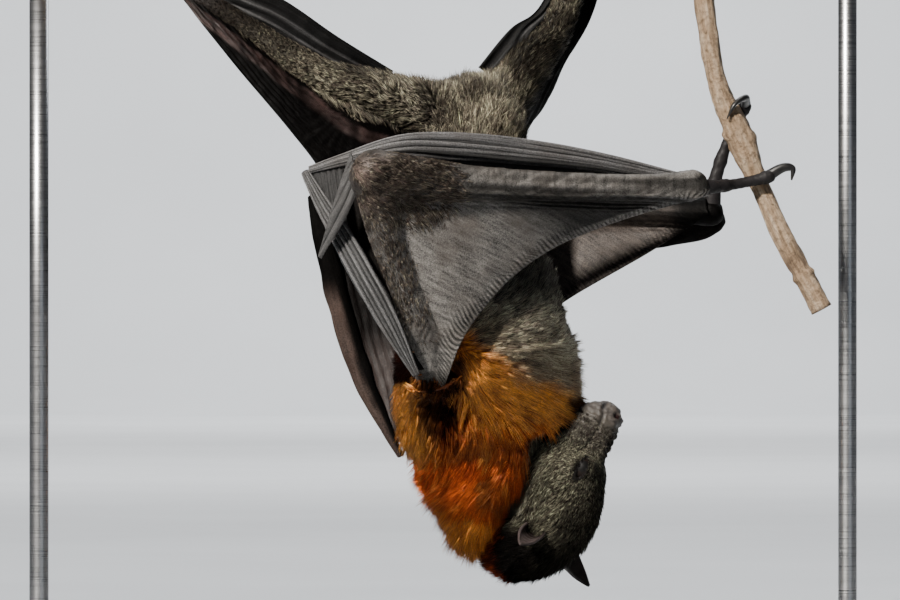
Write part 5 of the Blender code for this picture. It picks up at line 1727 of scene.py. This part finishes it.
def foot_shapes(side):
    """Sole and toes as one shape, claws as another, hooked over the perch."""
    ankle = np.array(ANKLE[side], float)
    round_perch, along = foot_frame(side)
    clear = PERCH_RADIUS + 0.35 + 0.9  # past the bark's bumps
    sole_end = round_perch(52, clear + 3.2, 0)
    places = np.linspace(0, 1, 40)
    sole = tube(spline([ankle, ankle + (sole_end - ankle) * 0.5, sole_end], places),
                spline((4.3, 5.2, 6.4), places), spline((4.2, 3.6, 2.8), places), along, 28,
                lambda s, angle: 1 + 0.05 * np.sin(s * 30 + np.sin(angle)))
    flesh, claws = [sole], []
    for toe in range(TOES):
        offset = (toe - (TOES - 1) / 2) * TOE_SPACING
        reach = clear + TOE_RADIUS
        route = [ankle + (sole_end - ankle) * 0.62, round_perch(55, reach + 0.8, offset * 0.92)]
        route += [round_perch(degrees, reach, offset) for degrees in (85, 112, 138, 158)]
        places = np.linspace(0, 1, 48)
        radii = spline((1.8, 2.1, 1.7, 1.55, 1.65, 1.3), places)
        for joint in (0.42, 0.7, 0.93):
            radii = radii + 0.28 * bell(places, joint, 0.045)
        flesh.append(tube(spline(route, places), radii * 0.95, radii, along, 14,
                          lambda s, angle, k=toe: 1 + 0.05 * np.sin(s * 60 + k + np.sin(angle))))
        hook = ((150, 0.5), (178, 1.7), (204, 1.3), (229, -0.9))
        claw = [round_perch(degrees, reach + more, offset) for degrees, more in hook]
        claws.append(claw_shape(claw, (1.25, 1.3, 1.0, 0.3), along, 28, 12))
    return joined(flesh), joined(claws)


# ---- perch, twig and stand ---------------------------------------------------------------------------


def knotted(base_noise, knots):
    """A ripple for bark: grooves, bumps and a few knots at given places and turns."""
    def ripple(s, angle):
        ring = np.stack([s * base_noise, np.cos(angle) * 1.5, np.sin(angle) * 1.5], axis=-1)
        rough = 0.08 * noise(ring, 1.1, 3) + 0.09 * noise(ring, 0.45, 5) + 0.05 * noise(ring, 0.2, 6)
        for place, turn, size in knots:
            gap = ((s - place) * 60) ** 2 + (np.angle(np.exp(1j * (angle - turn))) / 0.8) ** 2
            rough = rough + size * np.exp(-gap * 3) - 0.5 * size * np.exp(-gap * 14)
        return 1 + rough
    return ripple


def perch_shape():
    """The branch across the top, a little wavy."""
    wave = [(0, 0), (1.5, -1), (-0.5, 1), (0, 0), (1, 1), (-1, 0), (0, 0)]
    route = [PERCH_LEFT + (PERCH_RIGHT - PERCH_LEFT) * k / 6 + np.array((0, y, z)) * 0.4
             for k, (y, z) in enumerate(wave)]
    places = np.linspace(0, 1, 190)
    radii = spline((8.4, 8.2, 8.0, 8.3, 7.9, 7.7, 7.4), places)
    knots = [(0.07, 2.0, 0.22), (0.33, 4.4, 0.25), (0.52, 1.0, 0.2), (0.9, 3.1, 0.26)]
    return tube(spline(route, places), radii, radii, (0, 0, 1), 38, knotted(22, knots), round_ends=False)


def twig_shape():
    """The side twig that the thumbs hold, with a swelling near its lower end."""
    places = np.linspace(0, 1, 220)
    radii = spline(TWIG_RADII, places)
    radii = radii + 0.7 * bell(places, 0.935, 0.006) - 0.4 * bell(places, 0.925, 0.006)
    knots = [(0.35, 1.2, 0.2), (0.62, 3.0, 0.35), (0.64, 0.4, 0.25), (0.8, 2.0, 0.15)]
    return tube(spline(TWIG_ROUTE, places), radii, radii, (1, 0, 0), 28, knotted(16, knots), round_ends=False)


def lathe(profile, centre):
    """A turned piece from radius and height pairs, closed on its axis at both ends."""
    radius, height = np.array(profile, float).T[..., None]
    angle = turns_of(56)
    rings = np.stack([radius * np.cos(angle), radius * np.sin(angle), height + 0 * angle], axis=-1)
    shape = ringed(rings, (0, 0, height[0, 0]), (0, 0, height[-1, 0]))
    shape.points = shape.points + centre
    return shape


def rod_shape(side):
    """A straight rod on a turned foot, as high as its solid."""
    low, high = (np.array(corner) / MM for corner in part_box(f"stand_rod_{side}"))
    centre = np.array(((low[0] + high[0]) / 2, (low[1] + high[1]) / 2, 0))
    foot, bottom, top = (high[0] - low[0]) / 2, low[2], high[2]
    turned = [(foot - 0.3, 0), (foot, 0.3), (foot, 1.8), (foot - 0.5, 2.6), (foot * 0.8, 3.4),
              (foot * 0.5, 3.9), (5.6, 4.3), (4.8, 5.2), (4.3, 7), (4.0, 9)]
    profile = [(radius, bottom + height) for radius, height in turned]
    profile += [(4.0, (bottom + top) / 2), (4.0, top)]
    return lathe(profile, centre)


def base_shape():
    """The board, with round corners and a rounded top edge."""
    low, high = (np.array(corner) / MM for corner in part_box("stand_base"))
    half, corner, edge = (high - low) / 2, 12.0, 2.5
    turns = np.linspace(0, np.pi / 2, 12)
    outline = []
    for quarter, (sx, sy) in enumerate(((1, 1), (-1, 1), (-1, -1), (1, -1))):
        for t in (turns if quarter % 2 == 0 else turns[::-1]):
            outline.append((sx * (half[0] - corner + corner * math.cos(t)),
                            sy * (half[1] - corner + corner * math.sin(t))))
    outline = np.array(outline)
    inward = unit(outline)
    levels = [(0.6, 0), (0.0, 0.6), (0.0, high[2] - edge)]
    levels += [(edge * (1 - math.cos(t)), high[2] - edge + edge * math.sin(t))
               for t in np.linspace(0.2, np.pi / 2, 8)]
    rings = [np.column_stack([outline - inward * inset * 1.2, np.full(len(outline), z)])
             for inset, z in levels]
    return ringed(np.array(rings), (0, 0, 0), (0, 0, high[2]))


# ---- the model ---------------------------------------------------------------------------------------


def wing_tone(points, strength=1.0):
    """Multiplies a membrane's own colour: pinkish brown over the elbow, grey elsewhere."""
    colours = np.ones_like(points)
    for side in ("left", "right"):
        elbow = np.linalg.norm((points - np.array(ELBOW[side]) - (2, 0, -3)) / (22, 40, 15), axis=1)
        colours = mixed(colours, (1.0, 0.76, 0.68), smooth(1.15, 0.35, elbow) * strength)
    return colours * (1 + 0.12 * noise(points, 22, 33))[:, None]


def build_arm_membrane(side, sign, web, fur):
    """The leading-edge membrane and its fuzz. Gives what tufts from below must not come through."""
    left = side == "left"
    shape = arm_web(side, sign, *((344, 50) if left else (180, 28)))
    over = blocker(arm_web(side, sign, 90, 14), sign)
    tint = wing_tone(shape.points) * shape.values["shade"][:, None]
    if left:
        arm_fuzz(shape, fur)
        # Painted shadow: the web's lower tip, by the chest, is painted nearly black.
        tint = tint * (0.12 + 0.88 * smooth(137, 146, shape.points[:, 2:]))
    else:
        # The far web is darker and browner; towards the wrist it is painted black as shadow under the near
        # wrist.
        tint = tint * np.array((0.50, 0.43, 0.40))
        tint = tint * (1 - 0.95 * smooth(88, 98, shape.points[:, :1]))
    membrane(f"wing_{side}_arm_membrane", shape, web, tint, f"wing_{side}_fore_membrane")
    return over


def build_hand(side, fold, shaded_fold):
    """The folded fingers and the tip."""
    shape = finger_bundle(side)
    tint = wing_tone(shape.points, 0.3) * 1.25 * shape.values["shade"][:, None]
    membrane(f"wing_{side}_folded_fingers", shape, fold, tint, f"wing_{side}_fingers")
    shape = tip_bundle(side)
    tint, surface = wing_tone(shape.points, 0) * shape.values["shade"][:, None], fold
    if side == "right":  # painted shade, black but for a brown band painted as lit
        route = np.array(TIP_ROUTE[side][::-1], float)
        off = shape.points[:, 0] - np.interp(shape.points[:, 2], route[:, 2], route[:, 0])
        band = smooth(182, 168, shape.points[:, 2]) * smooth(1.0, -1.0, off + noise(shape.points, 8, 95))
        tint, surface = mixed((0.05, 0.05, 0.05), (0.9, 0.68, 0.60), band), shaded_fold
    membrane(f"wing_{side}_tip_blades", shape, surface, tint, f"wing_{side}_tip")


def build_flank_web(side, sign, brown_web, fur):
    """The web along the flank, on the left with its fuzz and the lit strip below that."""
    shape = flank_web(side, sign)
    # Painted shade: the web is nearly black. On the left a strip under the fuzz is painted lit, paler and
    # pinkish, with its crinkles paler and darker, and it is darker along a line in its middle.
    tint = even_tint(shape, 0.04)
    if side == "left":
        flank_fuzz(shape, fur)
        below = strip_line(shape.points[:, 0]) - shape.points[:, 2] + 0.8 * noise(shape.points, 6, 94)
        strip = between(0, 1, 5.5, 7, below) * smooth(232, 240, shape.points[:, 2])
        along, across, _ = shape.values["lie"].T
        crinkle = noise(np.stack([along / 3.5 + across / 7, across / 5, 0 * strip], axis=1), 1, 96)
        strip = strip * (0.75 + 0.7 * crinkle).clip(0.12, 1.3) * (1 - 0.6 * bell(below, 3.2, 0.5))
        tint = mixed((0.03, 0.03, 0.032), (0.75, 0.60, 0.59), strip)
    membrane(f"wing_{side}_flank_web", shape, brown_web, tint, f"wing_{side}_flank_membrane")


def build_leg_web(side, fold):
    """The web between the legs, with two paler lines along it painted as highlights on its ridges."""
    grid, lie = web_grid(LEG_WEB_BODY[side], LEG_WEB_FREE[side], (0, 0, 0), 90, 24)
    shape = pleated(grid, lie, 1.3, 1.3, 4.6, 6, fade=(0.0, 0.05))
    across = shape.values["lie"][:, 2] + 0.05 * noise(shape.points, 14, 97)
    # Painted highlights along two ridges.
    lines = bell(across, 0.36, 0.028) + 0.8 * bell(across, 0.6, 0.035)
    tint = np.repeat((0.12 + 0.9 * lines)[:, None], 3, axis=1)
    membrane(f"leg_{side}_web", shape, fold, tint, f"leg_{side}_membrane")


def build_thumb(side, skin, horn):
    shape = wrist_and_thumb(side)
    piece(mesh_of(f"wing_{side}_thumb_skin", shape, skin, even_tint(shape, tone(31, 29, 30))),
          "bare_skin", f"wing_{side}_thumb")
    across = (0, 1, 0) if side == "left" else (0.6, 0.2, -0.6)
    shape = claw_shape(CLAW_ROUTE[side], (2.5, 2.0, 1.4, 0.4), across)
    piece(mesh_of(f"wing_{side}_thumb_hook", shape, horn), "claw_horn", f"wing_{side}_thumb_claw")


def build_single_folds(fold, brown_web, shaded_fold):
    """The folds that only one wing has."""
    places = np.linspace(0, 1, 60)
    route = spline([(82, 25, 194.5), (92, 23, 198), (103, 18, 203), (111, 13, 207.5)], places)
    shape = tube(route, spline((0.8, 3, 4, 4.5), places), spline((1.0, 3.6, 6.2, 7.2), places), AWAY, 26,
                 lambda s, angle: 1 + 0.07 * np.sin(3 * angle + 9 * s), 0.7)
    # Painted shade: the far wrist's fold is nearly black.
    membrane("wing_right_shaded_wrist_fold", shape, shaded_fold, even_tint(shape, 0.12))
    # A folded web behind the hand, painted dark as the shade there.
    behind = ([(-57, -44, 227), (-44, -44, 200), (-30, -43, 168), (-16, -40, 142)],
              [(-31, -46, 220), (-24, -42, 194), (-15, -36, 166), (-7, -33, 144)])
    shape = folded_web(*behind, (0, 0, 0), 60, 14, 0.8, 0.6, 3.0, 16)
    membrane("wing_left_shaded_hand_fold", shape, shaded_fold, even_tint(shape, 0.2))
    shape = folded_web(*TIP_WEB, (1, 2, 0), 110, 28, 0.8, 0.7, 3.4, 12)
    # Painted shade: black in its upper part, between the near wing's tip and the far tip's band; paler brown
    # lower down.
    tint = mixed((0.06, 0.055, 0.055), (0.6, 0.52, 0.5), smooth(162, 142, shape.points[:, 2]))
    membrane("wing_right_tip_web", shape, brown_web, tint, "wing_right_tip_membrane")
    raised = np.array(PALM_WEB, float) + np.array([(-1, 1, 5), (0, 0, 0), (0, 0, 0)])
    shape = folded_web(*raised, (0, -1, 0), 70, 36, 0.8, 0.8, 2.6, 14)
    membrane("wing_left_palm_web", shape, fold, even_tint(shape, 0.45), "wing_left_palm_membrane")
    shape = folded_web(*POINTED_FOLD, (0, -1.5, 0), 90, 30, 0.9, 0.6, 2.8, 15)
    membrane("wing_left_pointed_web", shape, fold, even_tint(shape, 0.7), "wing_left_pointed_fold")


def build_wings(web, fold, brown_web, shaded_fold, skin, horn, fur):
    """Both wings. Gives the two leading-edge membranes as blockers for the body's tufts."""
    blockers = []
    for side, sign in (("left", -1), ("right", 1)):
        blockers.append(build_arm_membrane(side, sign, web, fur))
        build_hand(side, fold, shaded_fold)
        build_flank_web(side, sign, brown_web, fur)
        build_leg_web(side, fold)
        build_thumb(side, skin, horn)
    build_single_folds(fold, brown_web, shaded_fold)
    return blockers


def build_body(skin, furs, blockers):
    body, head = body_skin(), head_skin()
    head_faces = [group + len(body.points) for group in head.faces]
    whole = Shape(np.vstack([body.points, head.points]), body.faces + head_faces)
    obj = mesh_of("bat_skin", whole, skin, skin_colours(body, head))
    piece(obj, "bare_skin", "head", *TRUNK_NODES, *LIMB_NODES, *ARM_NODES)
    trunk_coat(body, furs, blockers)
    leg_coat(body, furs[0], blockers)
    head_coat(head, furs[2])


def build_head_parts(ear_skin, eye_surface):
    for side, sign in (("left", -1), ("right", 1)):
        shape = ear_shape(side, sign)
        place = shape.values["lie"][:, 2]
        inside = np.arange(len(place)) < len(place) // 2
        # Inside the cup the skin darkens towards the root. Painted shade: the far ear is painted dark, and
        # the near one a little paler, as lit.
        colours = mixed(tone(58, 50, 49), tone(20, 15, 14), inside * smooth(0.75, 0.3, place))
        colours = colours * (0.25 if side == "right" else 1.1)
        piece(mesh_of(f"ear_{side}_skin", shape, ear_skin, colours), "bare_skin", f"ear_{side}")
        piece(mesh_of(f"eye_{side}_ball", eyeball(sign), eye_surface), "eye", f"eye_{side}")


def build_feet(skin, horn):
    for side in ("left", "right"):
        flesh, claws = foot_shapes(side)
        colours = even_tint(flesh, tone(44, 39, 37))
        piece(mesh_of(f"foot_{side}_toes", flesh, skin, colours), "bare_skin", f"foot_{side}")
        piece(mesh_of(f"foot_{side}_claws", claws, horn), "claw_horn", f"foot_{side}")


def build_mount():
    bark = bark_material("branch_bark", tone(208, 188, 164), tone(164, 138, 110), tone(70, 50, 34))
    piece(mesh_of("perch_bark", perch_shape(), bark), "branch_bark", "perch_branch")
    piece(mesh_of("twig_bark", twig_shape(), bark), "branch_bark", "perch_twig")
    steel = steel_material()
    for side in ("left", "right"):
        piece(mesh_of(f"stand_rod_{side}_turned", rod_shape(side), steel), "stand_steel", f"stand_rod_{side}")
    piece(mesh_of("stand_base_board", base_shape(), base_material()), "stand_base", "stand_base")


# ---- room, light and camera --------------------------------------------------------------------------


def area_light(name, place, target, size, power, colour=(1, 1, 1), spread=180):
    light = bpy.data.lights.new(name, "AREA")
    light.shape, light.size, light.energy, light.color = "DISK", size, power, colour
    light.spread = math.radians(spread)
    obj = bpy.data.objects.new(name, light)
    bpy.context.scene.collection.objects.link(obj)
    obj.location = place
    obj.rotation_euler = (Vector(target) - Vector(place)).to_track_quat("-Z", "Y").to_euler()


def room():
    """A pale floor that curves up into a backdrop."""
    reach, depth, rise, bend = 11.0, 10.2, 4.0, 1.2
    profile = [(-reach, 0.0), (depth - bend, 0.0)]
    profile += [(depth - bend + bend * math.sin(t), bend - bend * math.cos(t))
                for t in np.linspace(0.1, np.pi / 2, 16)]
    profile += [(depth, rise)]
    rows = [[(x, y, z) for y, z in profile] for x in (-reach, reach)]
    points = np.array(rows).reshape(-1, 3) / MM
    shape = Shape(points, [grid_faces(2, len(profile))[:, ::-1]])
    s = Surface("studio_paper", Roughness=0.8)
    colour = s.ramp(s.noise(3, 2), (0.3, (0.70, 0.72, 0.74)), (0.7, (0.74, 0.76, 0.78)))
    obj = mesh_of("studio_floor", shape, s.set(Base_Color=colour))


def lights():
    """A warm key from the left, cool fill and rim, and three lamps for the floor and the backdrop."""
    middle = (0.0, 0.0, 0.18)
    area_light("key", (-1.55, -2.4, 2.15), middle, 0.35, 4.8, (1.0, 0.95, 0.87), 20)
    area_light("fill", (1.6, -2.6, 0.5), middle, 1.8, 0.5, (0.80, 0.90, 1.0), 60)
    area_light("rim", (1.3, 2.0, 1.7), middle, 0.9, 1.3, (0.90, 0.95, 1.0), 60)
    area_light("floor", (0.0, 1.2, 2.4), (0, 3.2, 0.6), 1.6, 104)
    area_light("far_floor", (0.0, 4.6, 2.4), (0, 6.6, 0.0), 1.6, 100)
    area_light("paper", (0.0, 8.0, 2.4), (0, 9.8, 0.2), 1.6, 90)
    world = bpy.data.worlds.new("studio")
    world.use_nodes = True
    sky = world.node_tree.nodes["Background"].inputs
    sky["Color"].default_value = (0.78, 0.87, 1.0, 1)
    sky["Strength"].default_value = 0.05
    bpy.context.scene.world = world


def camera():
    """Level with the wing, square on to the bat's left side."""
    distance, height, width = 3.5, 0.172, 0.378
    data = bpy.data.cameras.new("camera")
    data.sensor_width = 36
    data.lens = data.sensor_width * distance / width
    data.clip_start, data.clip_end = 0.1, 60
    obj = bpy.data.objects.new("camera", data)
    bpy.context.scene.collection.objects.link(obj)
    obj.location = (0, -distance, height)
    obj.rotation_euler = (math.radians(90), 0, 0)
    bpy.context.scene.camera = obj


# The wings' surfaces: dark, light and brown tones, and the settings that differ from the usual ones.
WING_SURFACES = (
    ("wing_web", (tone(26, 25, 24), tone(132, 128, 124), tone(72, 64, 58)), {}),
    ("wing_fold", (tone(16, 16, 16), tone(80, 79, 80), tone(46, 43, 42)), {"grain": (30, 2400)}),
    ("wing_brown_web", (tone(14, 12, 12), tone(66, 55, 53), tone(52, 40, 37)), {"grain": (40, 1500)}),
    # The fold's copy for the pieces painted as shade: nearly the same tones, with little gloss or specular,
    # so that they stay dark.
    ("wing_fold_in_shade", (tone(16, 15, 15), tone(74, 70, 68), tone(44, 36, 33)),
     {"grain": (30, 2400), "gloss": (0.6, 0.8), "specular": 0.12}),
)


def main():
    room()
    lights()
    camera()
    skin = skin_material()
    horn = horn_material()
    furs = [fur_material(name, 0.5) for name in ("grey_fur", "rufous_fur", "face_fur")]
    webs = [membrane_material(name, *tones, **settings) for name, tones, settings in WING_SURFACES]
    build_mount()
    build_feet(skin, horn)
    blockers = build_wings(*webs, skin, horn, furs[0])
    build_head_parts(skin, eye_material())
    build_body(skin, furs, blockers)


main()
